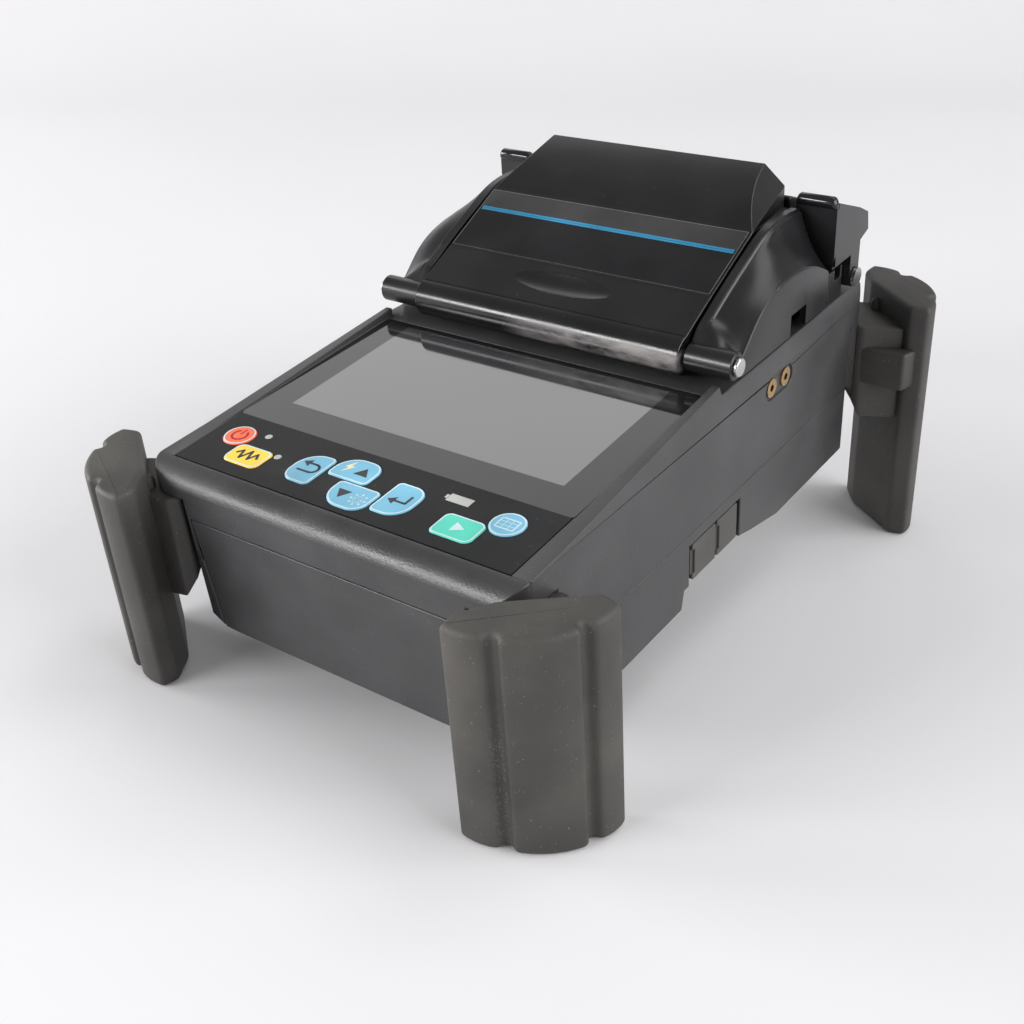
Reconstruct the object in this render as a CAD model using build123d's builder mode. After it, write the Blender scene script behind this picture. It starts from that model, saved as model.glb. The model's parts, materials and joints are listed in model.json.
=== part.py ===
from build123d import *
import os
from math import atan, cos, degrees, radians, sin

os.makedirs("parts", exist_ok=True)

# A field fusion splicer for optical fiber: a wedge shaped case with a display and keypad, a three
# piece wind cover hinged in front of the splicing stage, a tube heater behind it and four rubber
# corner guards that the case stands on. The rear guards reach lower than the front ones, so the
# case stands pitched towards the user. Millimetres, +Z up, +Y to the rear, origin on the floor
# under the middle of the guards. Dimensions are given in the case's own axes, where Z is square to
# its base; each finished piece is then put on the floor.

# ---- driving dimensions ----------------------------------------------------------------------
PITCH = 5.63              # degrees that the case leans towards the user on its guards
PITCH_Y = -110.0          # where the floor plane meets the case's own z = 0
STANCE_SHIFT = 1.3        # puts the middle of the guards over the origin
CASE_HALF = 63.0          # half the width of the case
CASE_FRONT = -104.0       # foremost line of the front face
CASE_REAR = 96.5
BELLY_Z = 11.4            # lowest face of the case
PORT_BELLY_Z = 20.0       # underside between the battery and the rear belly
SEAM_Z = 37.5             # joint between lower and upper case
SIDE_TOP_Z = 66.0         # where the side face turns into the bevel
DECK_Z = 71.6             # deck height at y = 0 and behind the hinge
DECK_SLOPE = 0.0555       # rise of the front deck per mm of depth
BEVEL_RUN = 1.8           # width of the side bevel at full deck height
RIM = (58.1, -80.0, -1.4) # rims beside the screen: inner limit along X, front and rear ends
RIM_RISE = 2.4            # height of a rim over the deck at its rear end
CORNER_R = 8.0            # plan radius of the four case corners
WALL = 2.2
FIT = 0.15                # clearance around a set-in plate

KEYPAD_FRONT = -97.0
KEYPAD_REAR = -71.0
KEYPAD_HALF = 57.3
SCREEN_REAR = -4.0
SCREEN_HALF = 57.6
SCREEN_THICK = 1.0
MEMBRANE_THICK = 0.7
LCD_HALF = 47.5           # half the lit area of the display
LCD_FRONT = -60.0
LCD_REAR = -6.2

BATTERY_HALF = 47.7
BATTERY_TOP = 51.7
BATTERY_REAR = -28.0

HINGE_Y = 3.6
HINGE_Z = 78.4
PIN_R = 1.5
PIN_RUN = 0.05            # radial running clearance on the hinge pins
BARREL_R = 4.1
LIP_R = 5.9
LIP_IN = 4.6
HOOD_HALF = 47.2
HOOD_WALL = 2.6
HOOD_FRONT = (2.9, 84.3)
HOOD_BEND = (16.0, 90.3)
HOOD_CREASE = (42.0, 101.9)
HOOD_TOP = (66.6, 114.6)
HOOD_FLOOR = 73.0

LID_IN = 48.1             # side lids, measured from the centre plane
LID_STRIP = 51.2
LID_OUT = 62.0
LID_REAR = 65.4

FIBER_Y = 44.0            # the line that both fibers are laid on
FIBER_Z = 76.0

HEATER_FRONT = 68.4
HEATER_HALF = 46.4
HEATER_Y = 76.5           # middle of the heater channel
HEATER_Z = 84.0           # top of the heater base
CLAMP_IN = 49.0
CLAMP_OUT = 62.4
CLAMP_PIN = (84.2, 76.4)  # pivot of the heater clamps (y, z)
LID_PIN = (89.6, 80.5)    # pivot of the heater lid

GUARD_TOP = 66.0
GUARD_SEAT_TOP = 58.0     # the case corners are cut off below this height

deck_angle = degrees(atan(DECK_SLOPE))
DECK = Plane(
    origin=(0, 0, DECK_Z),
    x_dir=(1, 0, 0),
    z_dir=(0, -sin(radians(deck_angle)), cos(radians(deck_angle))),
)


def deck_z(y):
    """Height of the deck at depth y."""
    return DECK_Z + DECK_SLOPE * min(y, 0.0)


# Turns the case's own axes into the standing object's.
STANCE = Pos(0, STANCE_SHIFT, -PITCH_Y * sin(radians(PITCH))) * Rot(PITCH, 0, 0)
FLOOR = Plane(
    origin=(0, PITCH_Y, 0),
    x_dir=(1, 0, 0),
    z_dir=(0, sin(radians(PITCH)), cos(radians(PITCH))),
)


def keep(piece, name):
    """Stand a finished piece on the floor, label it and write it under its own name."""
    standing = STANCE * piece
    standing.label = name
    export_step(standing, f"parts/{name}.step")


def block(x, y, z, mode=Mode.ADD):
    """A plain box in the current part, from its (low, high) limits along each axis."""
    with Locations(((x[0] + x[1]) / 2, (y[0] + y[1]) / 2, (z[0] + z[1]) / 2)):
        Box(x[1] - x[0], y[1] - y[0], z[1] - z[0], mode=mode)


def rod(start, end, radius, mode=Mode.ADD):
    """A straight round bar in the current part, between two points."""
    along = Vector(end) - Vector(start)
    with BuildSketch(Plane(origin=start, z_dir=along)) as section:
        Circle(radius)
    extrude(section.sketch, amount=along.length, mode=mode)


def span(side, near, far):
    """Limits along X of something near to far from the centre plane, on the given side."""
    return tuple(sorted((side * near, side * far)))


SIDES = {"left": -1, "right": 1}
ENDS = {"front": -1, "rear": 1}
# Directions of the two microscope objectives, away from the fiber, down to the front and rear.
OBJECTIVE_AXES = {
    name: Vector(0, end * sin(radians(45)), -cos(radians(45))) for name, end in ENDS.items()
}


# ---- outer volume of the case ----------------------------------------------------------------
def case_volume(inset):
    """The closed outer volume of the case, drawn in by inset on every side."""
    nose = (CASE_FRONT, 56.0)
    deck_front = (KEYPAD_FRONT, deck_z(KEYPAD_FRONT))
    with BuildPart() as volume:
        with BuildSketch(Plane.YZ.offset(-CASE_HALF)):
            with BuildLine():
                TangentArc(deck_front, nose, tangent=(-1, -DECK_SLOPE))
                Polyline(
                    nose,
                    (-99.3, 12.4),
                    (-98.0, BELLY_Z),
                    (-27.0, BELLY_Z),
                    (-24.6, PORT_BELLY_Z),
                    (9.0, PORT_BELLY_Z),
                    (17.0, 18.0),
                    (48.0, BELLY_Z),
                    (91.0, BELLY_Z),
                    (CASE_REAR, 17.0),
                    (CASE_REAR, 67.0),
                    (92.5, DECK_Z),
                    (0, DECK_Z),
                    deck_front,
                )
            make_face()
            if inset:
                offset(amount=-inset, kind=Kind.INTERSECTION)
        extrude(amount=2 * CASE_HALF)
        with BuildSketch(Plane.XZ.offset(-120)):
            with BuildLine():
                Polyline(
                    (-CASE_HALF + 3, BELLY_Z),
                    (CASE_HALF - 3, BELLY_Z),
                    (CASE_HALF, BELLY_Z + 3),
                    (CASE_HALF, SIDE_TOP_Z),
                    (CASE_HALF - BEVEL_RUN, DECK_Z),
                    (-CASE_HALF + BEVEL_RUN, DECK_Z),
                    (-CASE_HALF, SIDE_TOP_Z),
                    (-CASE_HALF, BELLY_Z + 3),
                    close=True,
                )
            make_face()
            if inset:
                offset(amount=-inset, kind=Kind.INTERSECTION)
        extrude(amount=240, mode=Mode.INTERSECT)
        middle = (CASE_FRONT + CASE_REAR) / 2
        with BuildSketch(Plane.XY):
            with Locations((0, middle)):
                RectangleRounded(
                    2 * (CASE_HALF - inset), CASE_REAR - CASE_FRONT - 2 * inset, CORNER_R
                )
        extrude(amount=100, mode=Mode.INTERSECT)
        # Seats of the corner guards: the corners are cut off below the shoulder.
        for side in (1, -1):
            with BuildSketch(Plane.XY):
                with BuildLine():
                    Polyline(
                        (side * (46.5 - inset), -106.6),
                        (side * (66.0 - inset), -82.2),
                        (side * 80.0, -106.5),
                        close=True,
                    )
                make_face()
                with BuildLine():
                    Polyline(
                        (side * (46.5 - inset), 100.0),
                        (side * (66.0 - inset), 80.5),
                        (side * 80.0, 100.0),
                        close=True,
                    )
                make_face()
            extrude(amount=GUARD_SEAT_TOP + inset, mode=Mode.SUBTRACT)
    return volume.part


outer = case_volume(0)
inner = case_volume(WALL)


def deck_rim(side):
    """The rim along one side of the screen, rising towards the hinge, bevelled on the outside."""
    inside, front, rear = RIM
    bevel = Vector(side * (DECK_Z - SIDE_TOP_Z), 0, BEVEL_RUN).normalized()
    with BuildPart() as rim:
        with BuildSketch(Plane.YZ.offset(side * inside)):
            with BuildLine():
                Polyline(
                    (front, deck_z(front)),
                    (rear, deck_z(rear) + RIM_RISE),
                    (rear, deck_z(rear) - 1.5),
                    (front, deck_z(front) - 1.5),
                    close=True,
                )
            make_face()
        extrude(amount=side * (CASE_HALF - inside))
        split(
            bisect_by=Plane(origin=(side * CASE_HALF, 0, SIDE_TOP_Z), z_dir=bevel),
            keep=Keep.BOTTOM,
        )
    return rim.part



def belly_corners():
    """What is cut from both lower corners at the front of the battery and the case around it."""
    with BuildPart() as corners:
        with BuildSketch(Plane.XZ.offset(90)):
            for side in (1, -1):
                with BuildLine():
                    Polyline(
                        (side * 34.0, BELLY_Z),
                        (side * 47.5, BELLY_Z + 1.2),
                        (side * 54.5, BELLY_Z + 6.5),
                        (side * 62.0, BELLY_Z + 20.0),
                        (side * 62.0, BELLY_Z - 2),
                        (side * 34.0, BELLY_Z - 2),
                        close=True,
                    )
                make_face()
        extrude(amount=30)
    return corners.part


# ---- upper case ------------------------------------------------------------------------------
WELL_HALF = 56.0          # opening over the splicing stage
WELL_FRONT = 14.5
WELL_REAR = 63.6

with BuildPart() as upper_case:
    add(outer)
    add(inner, mode=Mode.SUBTRACT)
    for side in (1, -1):
        add(deck_rim(side))
    # A roof and cheeks shut the battery bay off from the electronics.
    block((-50.2, 50.2), (-101.0, -25.6), (52.0, 54.0))
    for side in (1, -1):
        cheek = span(side, 48.0, 50.2)
        block(cheek, (-100.0, -25.6), (SEAM_Z, 54.0))
    block((-50.2, 50.2), (-27.6, -25.6), (SEAM_Z, 54.0))
    block((-80, 80), (-120, 120), (0, SEAM_Z), mode=Mode.SUBTRACT)
    block((-48.0, 48.0), (-120, -27.6), (0, 52.0), mode=Mode.SUBTRACT)
    # Pockets for the screen and the keypad, with open windows under both.
    with BuildSketch(DECK.offset(-SCREEN_THICK)):
        with Locations((0, (KEYPAD_REAR + SCREEN_REAR) / 2)):
            RectangleRounded(2 * SCREEN_HALF + 2 * FIT, SCREEN_REAR - KEYPAD_REAR + 2 * FIT, 1.5)
    extrude(amount=3, mode=Mode.SUBTRACT)
    with BuildSketch(DECK.offset(-MEMBRANE_THICK + 0.1)):
        with Locations((0, (KEYPAD_FRONT + KEYPAD_REAR) / 2)):
            Rectangle(2 * KEYPAD_HALF + 2 * FIT, KEYPAD_REAR - KEYPAD_FRONT)
    extrude(amount=3, mode=Mode.SUBTRACT)
    with BuildSketch(DECK.offset(-8)):
        with Locations((0, (LCD_FRONT + LCD_REAR) / 2)):
            Rectangle(2 * LCD_HALF + 6, LCD_REAR - LCD_FRONT + 3)
        with Locations((0, -84.6)):
            Rectangle(110.0, 22.0)
    extrude(amount=12, mode=Mode.SUBTRACT)
    # The splicing stage shows through a well that the wind cover closes.
    block((-WELL_HALF, WELL_HALF), (WELL_FRONT, WELL_REAR), (60, 80), mode=Mode.SUBTRACT)
    # Recess and holes of the two auxiliary sockets on the right side.
    JACK_Y = (27.2, 36.3)
    JACK_Z = 61.6
    with BuildSketch(Plane.YZ.offset(CASE_HALF - 0.8)):
        with Locations(((JACK_Y[0] + JACK_Y[1]) / 2, JACK_Z)):
            SlotOverall(JACK_Y[1] - JACK_Y[0] + 8.4, 7.4)
    extrude(amount=2, mode=Mode.SUBTRACT)
    with BuildSketch(Plane.YZ.offset(CASE_HALF - 10)):
        for y in JACK_Y:
            with Locations((y, JACK_Z)):
                Circle(2.3)
    extrude(amount=12, mode=Mode.SUBTRACT)
keep(upper_case.part, "upper_case")

# ---- lower case ------------------------------------------------------------------------------
PORT_Y = ((-19.4, -5.6), (-4.8, 7.6))  # the two rubber port covers along the side
PORT_Z = (20.4, 32.6)
PORT_FLOOR = 60.4                      # bottom of the port recess
INLET_Z = 27.0

with BuildPart() as lower_case:
    add(outer)
    add(inner, mode=Mode.SUBTRACT)
    for side in (1, -1):
        cheek = span(side, 48.0, 50.2)
        block(cheek, (-99.0, -25.6), (BELLY_Z, SEAM_Z))
    block((-50.2, 50.2), (-27.6, -25.6), (PORT_BELLY_Z, SEAM_Z))
    block((54.0, PORT_FLOOR), (-22.5, 9.5), (PORT_BELLY_Z + 0.2, 35.2))
    block((-80, 80), (-120, 120), (SEAM_Z, 120), mode=Mode.SUBTRACT)
    block((-48.0, 48.0), (-120, -27.6), (0, SEAM_Z), mode=Mode.SUBTRACT)
    add(belly_corners(), mode=Mode.SUBTRACT)
    # Recess of the ports, open at the bottom so that the covers can swing down.
    block((PORT_FLOOR, 70), (-22.0, 8.6), (PORT_BELLY_Z - 2, 33.6), mode=Mode.SUBTRACT)
    block((50, 70), (-17.6, -7.4), (INLET_Z - 2.6, INLET_Z + 2.6), mode=Mode.SUBTRACT)
    with BuildSketch(Plane.YZ.offset(50)):
        with Locations((1.4, INLET_Z)):
            Circle(4.4)
    extrude(amount=20, mode=Mode.SUBTRACT)
    # Seat of the tripod thread in the rear belly.
    with BuildSketch(Plane.XY.offset(BELLY_Z)):
        with Locations((0, 62)):
            Circle(8.5)
    extrude(amount=8)
    with BuildSketch(Plane.XY):
        with Locations((0, 62)):
            Circle(5.0)
    extrude(amount=BELLY_Z + 7, mode=Mode.SUBTRACT)
    # Counterbored holes for the screws that hold the two cases together.
    CASE_SCREWS = [(x, y) for x in (-52.0, 52.0) for y in (56.0, 78.0)]
    for x, y in CASE_SCREWS:
        with BuildSketch(Plane.XY):
            with Locations((x, y)):
                Circle(3.4)
        extrude(amount=BELLY_Z + 1.2, mode=Mode.SUBTRACT)
        with BuildSketch(Plane.XY):
            with Locations((x, y)):
                Circle(1.7)
        extrude(amount=BELLY_Z + 5, mode=Mode.SUBTRACT)
keep(lower_case.part, "lower_case")

with BuildPart() as case_screws:
    for x, y in CASE_SCREWS:
        with BuildSketch(Plane.XY.offset(BELLY_Z + 0.2)):
            with Locations((x, y)):
                Circle(2.9)
                RegularPolygon(1.3, 6, mode=Mode.SUBTRACT)
        extrude(amount=1.0)
        with BuildSketch(Plane.XY.offset(BELLY_Z + 1.2)):
            with Locations((x, y)):
                Circle(1.5)
        extrude(amount=8)
keep(case_screws.part, "case_screws")

with BuildPart() as tripod_insert:
    with BuildSketch(Plane.XY.offset(BELLY_Z + 0.1)):
        with Locations((0, 62)):
            Circle(5.0)
            Circle(2.6, mode=Mode.SUBTRACT)
    extrude(amount=6.6)
keep(tripod_insert.part, "tripod_insert")

# ---- battery pack ----------------------------------------------------------------------------
with BuildPart() as battery_pack:
    add(outer)
    pack = ((-BATTERY_HALF, BATTERY_HALF), (-110, BATTERY_REAR), (0, BATTERY_TOP))
    block(*pack, mode=Mode.INTERSECT)
    add(belly_corners(), mode=Mode.SUBTRACT)
keep(battery_pack.part, "battery_pack")

with BuildPart() as battery_contacts:
    for x in (-9.0, -3.0, 3.0, 9.0):
        block((x - 1.2, x + 1.2), (BATTERY_REAR + 0.05, BATTERY_REAR + 0.38), (24.0, 34.0))
keep(battery_contacts.part, "battery_contacts")

# ---- screen and keypad -----------------------------------------------------------------------
with BuildPart() as display_window:
    with BuildSketch(DECK.offset(-SCREEN_THICK)):
        with Locations((0, (KEYPAD_REAR + SCREEN_REAR) / 2)):
            RectangleRounded(2 * SCREEN_HALF, SCREEN_REAR - KEYPAD_REAR - 0.1, 1.2)
    extrude(amount=SCREEN_THICK)
keep(display_window.part, "display_window")

with BuildPart() as display_module:
    with BuildSketch(DECK.offset(-SCREEN_THICK - 4.1)):
        with Locations((0, (LCD_FRONT + LCD_REAR) / 2)):
            Rectangle(2 * LCD_HALF + 4, LCD_REAR - LCD_FRONT + 2)
    extrude(amount=4)
keep(display_module.part, "display_module")

KEY_THICK = 1.0
KEY_RIM = 0.15            # gap between a key and the membrane around it
KEY_PROUD = 0.35


# Each key: centre on the deck, size, and the radius of each corner in the order
# left front, right front, right rear, left rear.
KEYS = {
    "key_power": ((-48.0, -80.9), (9.6, 9.6), (4.75, 4.75, 4.75, 4.75)),
    "key_heat": ((-37.9, -87.9), (12.8, 8.8), (2.6, 2.2, 2.0, 2.6)),
    "key_back": ((-18.2, -84.6), (10.0, 13.6), (4.6, 1.6, 1.6, 7.0)),
    "key_up": ((-5.4, -79.4), (13.8, 9.8), (1.6, 1.6, 4.6, 6.6)),
    "key_down": ((1.1, -89.9), (14.2, 10.2), (6.6, 4.6, 1.6, 1.6)),
    "key_enter": ((14.1, -85.2), (10.4, 13.8), (1.6, 6.0, 4.6, 1.6)),
    "key_start": ((34.9, -87.9), (12.8, 9.2), (1.8, 2.2, 2.4, 2.2)),
    "key_view": ((45.0, -80.9), (9.8, 9.8), (4.85, 4.85, 4.85, 4.85)),
}
LAMPS = [(-40.0, -77.5, 1.1), (-30.0, -84.3, 1.1)]
CHARGE_LAMP = ((27.8, -77.7), (7.2, 3.2))


def key_outline(centre, size, corners, grow=0.0):
    """The outline of a key in the deck's own axes, grown outward by grow."""
    x, y = centre
    half_x = size[0] / 2 + grow
    half_y = size[1] / 2 + grow
    points = [
        (x - half_x, y - half_y),
        (x + half_x, y - half_y),
        (x + half_x, y + half_y),
        (x - half_x, y + half_y),
    ]
    radii = [radius + grow for radius in corners]
    with BuildLine() as outline:
        starts = []
        ends = []
        for i, (px, py) in enumerate(points):
            before = points[i - 1]
            after = points[(i + 1) % 4]
            to_before = Vector(before[0] - px, before[1] - py).normalized()
            to_after = Vector(after[0] - px, after[1] - py).normalized()
            starts.append(Vector(px, py) + to_before * radii[i])
            ends.append(Vector(px, py) + to_after * radii[i])
        for i in range(4):
            TangentArc(starts[i], ends[i], tangent=Vector(*points[i]) - starts[i])
            if (starts[(i + 1) % 4] - ends[i]).length > 1e-4:
                Line(ends[i], starts[(i + 1) % 4])
    return outline.line


with BuildPart() as keypad_membrane:
    with BuildSketch(DECK.offset(-MEMBRANE_THICK + 0.1)):
        with Locations((0, (KEYPAD_FRONT + KEYPAD_REAR) / 2)):
            Rectangle(2 * KEYPAD_HALF, KEYPAD_REAR - KEYPAD_FRONT - 0.2)
    extrude(amount=MEMBRANE_THICK)
    for centre, size, corners in KEYS.values():
        with BuildSketch(DECK.offset(-3)):
            with BuildLine():
                add(key_outline(centre, size, corners, KEY_RIM))
            make_face()
        extrude(amount=5, mode=Mode.SUBTRACT)
    with BuildSketch(DECK.offset(-3)):
        for x, y, radius in LAMPS:
            with Locations((x, y)):
                Circle(radius + 0.1)
        with Locations(CHARGE_LAMP[0]):
            Rectangle(CHARGE_LAMP[1][0] + 0.2, CHARGE_LAMP[1][1] + 0.2)
    extrude(amount=5, mode=Mode.SUBTRACT)
keep(keypad_membrane.part, "keypad_membrane")

for name, (centre, size, corners) in KEYS.items():
    with BuildPart() as key:
        with BuildSketch(DECK.offset(KEY_PROUD - KEY_THICK)):
            with BuildLine():
                add(key_outline(centre, size, corners))
            make_face()
        extrude(amount=KEY_THICK)
        chamfer(key.faces().sort_by(Axis.Z)[-1].edges(), 0.25)
    keep(key.part, name)

with BuildPart() as status_lamps:
    with BuildSketch(DECK.offset(-MEMBRANE_THICK + 0.1)):
        for x, y, radius in LAMPS:
            with Locations((x, y)):
                Circle(radius)
        with Locations(CHARGE_LAMP[0]):
            Rectangle(*CHARGE_LAMP[1])
    extrude(amount=MEMBRANE_THICK)
keep(status_lamps.part, "status_lamps")

# Circuit boards: the one under the keypad with a dome switch below each key, the main board above
# the battery, and one behind each camera of the splicing stage.
with BuildPart() as circuit_boards:
    with BuildSketch(DECK.offset(-3.4)):
        with Locations((0, -84.2)):
            Rectangle(109.0, 20.0)
    extrude(amount=1.2)
    with BuildSketch(DECK.offset(-2.2)):
        for centre, size, corners in KEYS.values():
            with Locations(centre):
                Circle(2.4)
    extrude(amount=0.9)
    block((-52.0, 52.0), (-94.0, -2.0), (55.0, 56.6))
    block((-12.0, 12.0), (-60.0, -36.0), (56.6, 58.6))
    block((20.0, 34.0), (-58.0, -44.0), (56.6, 58.0))
    block((-38.0, -24.0), (-34.0, -20.0), (56.6, 58.0))
    for away in OBJECTIVE_AXES.values():
        behind = Vector(0, FIBER_Y, FIBER_Z) + away * 30.5
        with BuildSketch(Plane(origin=behind, x_dir=(1, 0, 0), z_dir=away)):
            Rectangle(16, 12)
        extrude(amount=1.4)
keep(circuit_boards.part, "circuit_boards")

# ---- sockets and covers on the right side ----------------------------------------------------
with BuildPart() as aux_sockets:
    for y in JACK_Y:
        rod((CASE_HALF - 6.9, y, JACK_Z), (CASE_HALF - 0.8, y, JACK_Z), 2.15)
        rod((CASE_HALF - 0.8, y, JACK_Z), (CASE_HALF - 0.2, y, JACK_Z), 2.9)
        rod((CASE_HALF - 5.9, y, JACK_Z), (CASE_HALF, y, JACK_Z), 1.05, mode=Mode.SUBTRACT)
keep(aux_sockets.part, "aux_sockets")

with BuildPart() as port_sockets:
    block((51.0, PORT_FLOOR - 0.1), (-17.5, -7.5), (INLET_Z - 2.5, INLET_Z + 2.5))
    block((52.0, 65), (-17.0, -8.0), (INLET_Z - 2.0, INLET_Z + 2.0), mode=Mode.SUBTRACT)
    block((51.5, PORT_FLOOR - 0.6), (-15.8, -9.2), (INLET_Z - 0.4, INLET_Z + 0.4))
    rod((51.0, 1.4, INLET_Z), (PORT_FLOOR - 0.1, 1.4, INLET_Z), 4.3)
    rod((52.0, 1.4, INLET_Z), (PORT_FLOOR, 1.4, INLET_Z), 2.8, mode=Mode.SUBTRACT)
    rod((51.5, 1.4, INLET_Z), (PORT_FLOOR - 1.0, 1.4, INLET_Z), 0.6)
keep(port_sockets.part, "port_sockets")

for name, limits in zip(("usb_cover", "inlet_cover"), PORT_Y):
    with BuildPart() as cover:
        block((PORT_FLOOR + 0.3, PORT_FLOOR + 2.2), limits, PORT_Z)
        fillet(cover.edges().filter_by(Axis.X), 0.8)
        fillet(cover.faces().sort_by(Axis.X)[-1].edges(), 0.4)
        # Finger grip at the front end of the cover.
        block(
            (PORT_FLOOR + 1.4, PORT_FLOOR + 4),
            (limits[0] - 1, limits[0] + 1.3),
            (PORT_Z[0] + 2, PORT_Z[1] - 2),
            mode=Mode.SUBTRACT,
        )
    keep(cover.part, name)

# ---- hinge of the wind cover -----------------------------------------------------------------
with BuildPart() as hinge_pin:
    rod((-63.2, HINGE_Y, HINGE_Z), (63.2, HINGE_Y, HINGE_Z), PIN_R)
    for side in SIDES.values():
        rod((side * 63.2, HINGE_Y, HINGE_Z), (side * 64.3, HINGE_Y, HINGE_Z), 2.8)
    fillet(hinge_pin.edges().filter_by(GeomType.CIRCLE).group_by(Axis.X)[-1], 0.5)
    fillet(hinge_pin.edges().filter_by(GeomType.CIRCLE).group_by(Axis.X)[0], 0.5)
keep(hinge_pin.part, "hinge_pin")

KNUCKLE = (32.0, 43.4)
with BuildPart() as hinge_brackets:
    for side in SIDES.values():
        limits = span(side, *KNUCKLE)
        rod((limits[0], HINGE_Y, HINGE_Z), (limits[1], HINGE_Y, HINGE_Z), 4.0)
        block(limits, (HINGE_Y + 2, 13.0), (HINGE_Z - 1.6, HINGE_Z + 1.6))
        block(limits, (9.9, 13.0), (DECK_Z, HINGE_Z + 1.6))
        block(limits, (9.9, 14.3), (DECK_Z, DECK_Z + 2.4))
    rod((-50, HINGE_Y, HINGE_Z), (50, HINGE_Y, HINGE_Z), PIN_R + PIN_RUN, mode=Mode.SUBTRACT)
keep(hinge_brackets.part, "hinge_brackets")


CROWN_REAR_HALF = 45.4    # the crown narrows a little towards the rear
CROWN_CUT = Vector(126, -31.2, 145.7).normalized()


def hood_volume(inset):
    """The closed volume of the middle cover, drawn in by inset: face, crease, raised crown."""
    bend = (Vector(*HOOD_CREASE) - Vector(*HOOD_BEND)).normalized()
    underside = HOOD_FRONT[1] - 1.5
    with BuildPart() as volume:
        with BuildSketch(Plane.YZ.offset(-HOOD_HALF + inset)):
            with BuildLine():
                TangentArc(HOOD_BEND, HOOD_FRONT, tangent=-bend)
                Line(HOOD_BEND, HOOD_CREASE)
                ThreePointArc(HOOD_CREASE, (53.6, 109.5), HOOD_TOP)
                Polyline(
                    HOOD_TOP,
                    (HOOD_TOP[0], HOOD_FLOOR),
                    (8.6, HOOD_FLOOR),
                    (8.6, underside),
                    (HOOD_FRONT[0], underside),
                    HOOD_FRONT,
                )
            make_face()
            if inset:
                offset(amount=-inset, kind=Kind.INTERSECTION)
        extrude(amount=2 * (HOOD_HALF - inset))
        for side in SIDES.values():
            # Taper of the crown's sides, then the chamfer along its top corners.
            with BuildSketch(Plane.XY.offset(HOOD_CREASE[1] - inset)):
                with BuildLine():
                    Polyline(
                        (side * (HOOD_HALF - inset), HOOD_CREASE[0]),
                        (side * (CROWN_REAR_HALF - inset), HOOD_TOP[0] + 1),
                        (side * 60, HOOD_TOP[0] + 1),
                        (side * 60, HOOD_CREASE[0]),
                        close=True,
                    )
                make_face()
            extrude(amount=20, mode=Mode.SUBTRACT)
            cut = Vector(side * CROWN_CUT.X, CROWN_CUT.Y, CROWN_CUT.Z)
            corner = Vector(side * HOOD_HALF, *HOOD_CREASE)
            split(bisect_by=Plane(origin=corner - cut * inset, z_dir=cut), keep=Keep.BOTTOM)
    return volume.part


def ring_sector(inside, outside, start, end):
    """A sector of a ring around the hinge line, angles from +Y towards +Z."""
    with BuildLine(mode=Mode.PRIVATE) as edge:
        far = CenterArc((HINGE_Y, HINGE_Z), outside, start, end - start)
        near = CenterArc((HINGE_Y, HINGE_Z), inside, start, end - start)
        Line(far @ 0, near @ 0)
        Line(far @ 1, near @ 1)
    return edge.line


hood_outer = hood_volume(0)
hood_inner = hood_volume(HOOD_WALL)
FIBER_PASSAGE = (40.6, 47.4)
SCOOP_AXIS = (0, 8.2, 95.0)  # the thumb scoop is turned about this line, in front of the face
SCOOP_HALF = 24.0
with BuildPart() as wind_cover:
    add(hood_outer)
    # Inner space, open below and at the front under the hinge.
    add(hood_inner, mode=Mode.SUBTRACT)
    opening = (-HOOD_HALF + HOOD_WALL, HOOD_HALF - HOOD_WALL)
    floor_limits = (HOOD_FLOOR - 2, HOOD_FLOOR + 10)
    block(opening, (8.0, HOOD_TOP[0] - HOOD_WALL), floor_limits, mode=Mode.SUBTRACT)
    block((-44.0, 44.0), (7.0, 12.0), (HOOD_FLOOR - 2, HOOD_FRONT[1] - 1.5), mode=Mode.SUBTRACT)
    block((-60, 60), FIBER_PASSAGE, (HOOD_FLOOR - 2, 79.0), mode=Mode.SUBTRACT)
    # Rolled lip in front of the hinge, closed at its ends by the ears that turn on the pin.
    with BuildSketch(Plane.YZ.offset(-HOOD_HALF)):
        with BuildLine():
            add(ring_sector(LIP_IN, LIP_R, 93, 233))
        make_face()
    extrude(amount=2 * HOOD_HALF)
    for side in SIDES.values():
        limits = span(side, 44.0, HOOD_HALF)
        rod((limits[0], HINGE_Y, HINGE_Z), (limits[1], HINGE_Y, HINGE_Z), LIP_R)
        block(limits, (HINGE_Y, 12.0), (HINGE_Z, HOOD_FRONT[1] - 0.5))
    rod((-50, HINGE_Y, HINGE_Z), (50, HINGE_Y, HINGE_Z), PIN_R + PIN_RUN, mode=Mode.SUBTRACT)
    # Thumb scoop low on the face.
    with BuildSketch(Plane(origin=SCOOP_AXIS, x_dir=(1, 0, 0), z_dir=(0, 0.89, 0.46))):
        with BuildLine():
            ThreePointArc((-SCOOP_HALF, 6.6), (0, 8.6), (SCOOP_HALF, 6.6))
            Polyline((SCOOP_HALF, 6.6), (SCOOP_HALF, 0), (-SCOOP_HALF, 0), (-SCOOP_HALF, 6.6))
        make_face()
    revolve(axis=Axis(SCOOP_AXIS, (1, 0, 0)), mode=Mode.SUBTRACT)
keep(wind_cover.part, "wind_cover")

face_dir = (Vector(*HOOD_CREASE) - Vector(*HOOD_BEND)).normalized()
FACE = Plane(
    origin=(0, *HOOD_CREASE),
    x_dir=(1, 0, 0),
    z_dir=(0, -face_dir.Y, face_dir.X),
)
LABEL_LOW = -26.6         # lower edge of the label, measured down the face from the crease
LABEL_THICK = 0.3
with BuildPart() as cover_label:
    with BuildSketch(FACE):
        with Locations((0, LABEL_LOW / 2)):
            Rectangle(2 * HOOD_HALF - 1.6, -LABEL_LOW - 0.5)
    extrude(amount=LABEL_THICK)
keep(cover_label.part, "cover_label")

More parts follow.
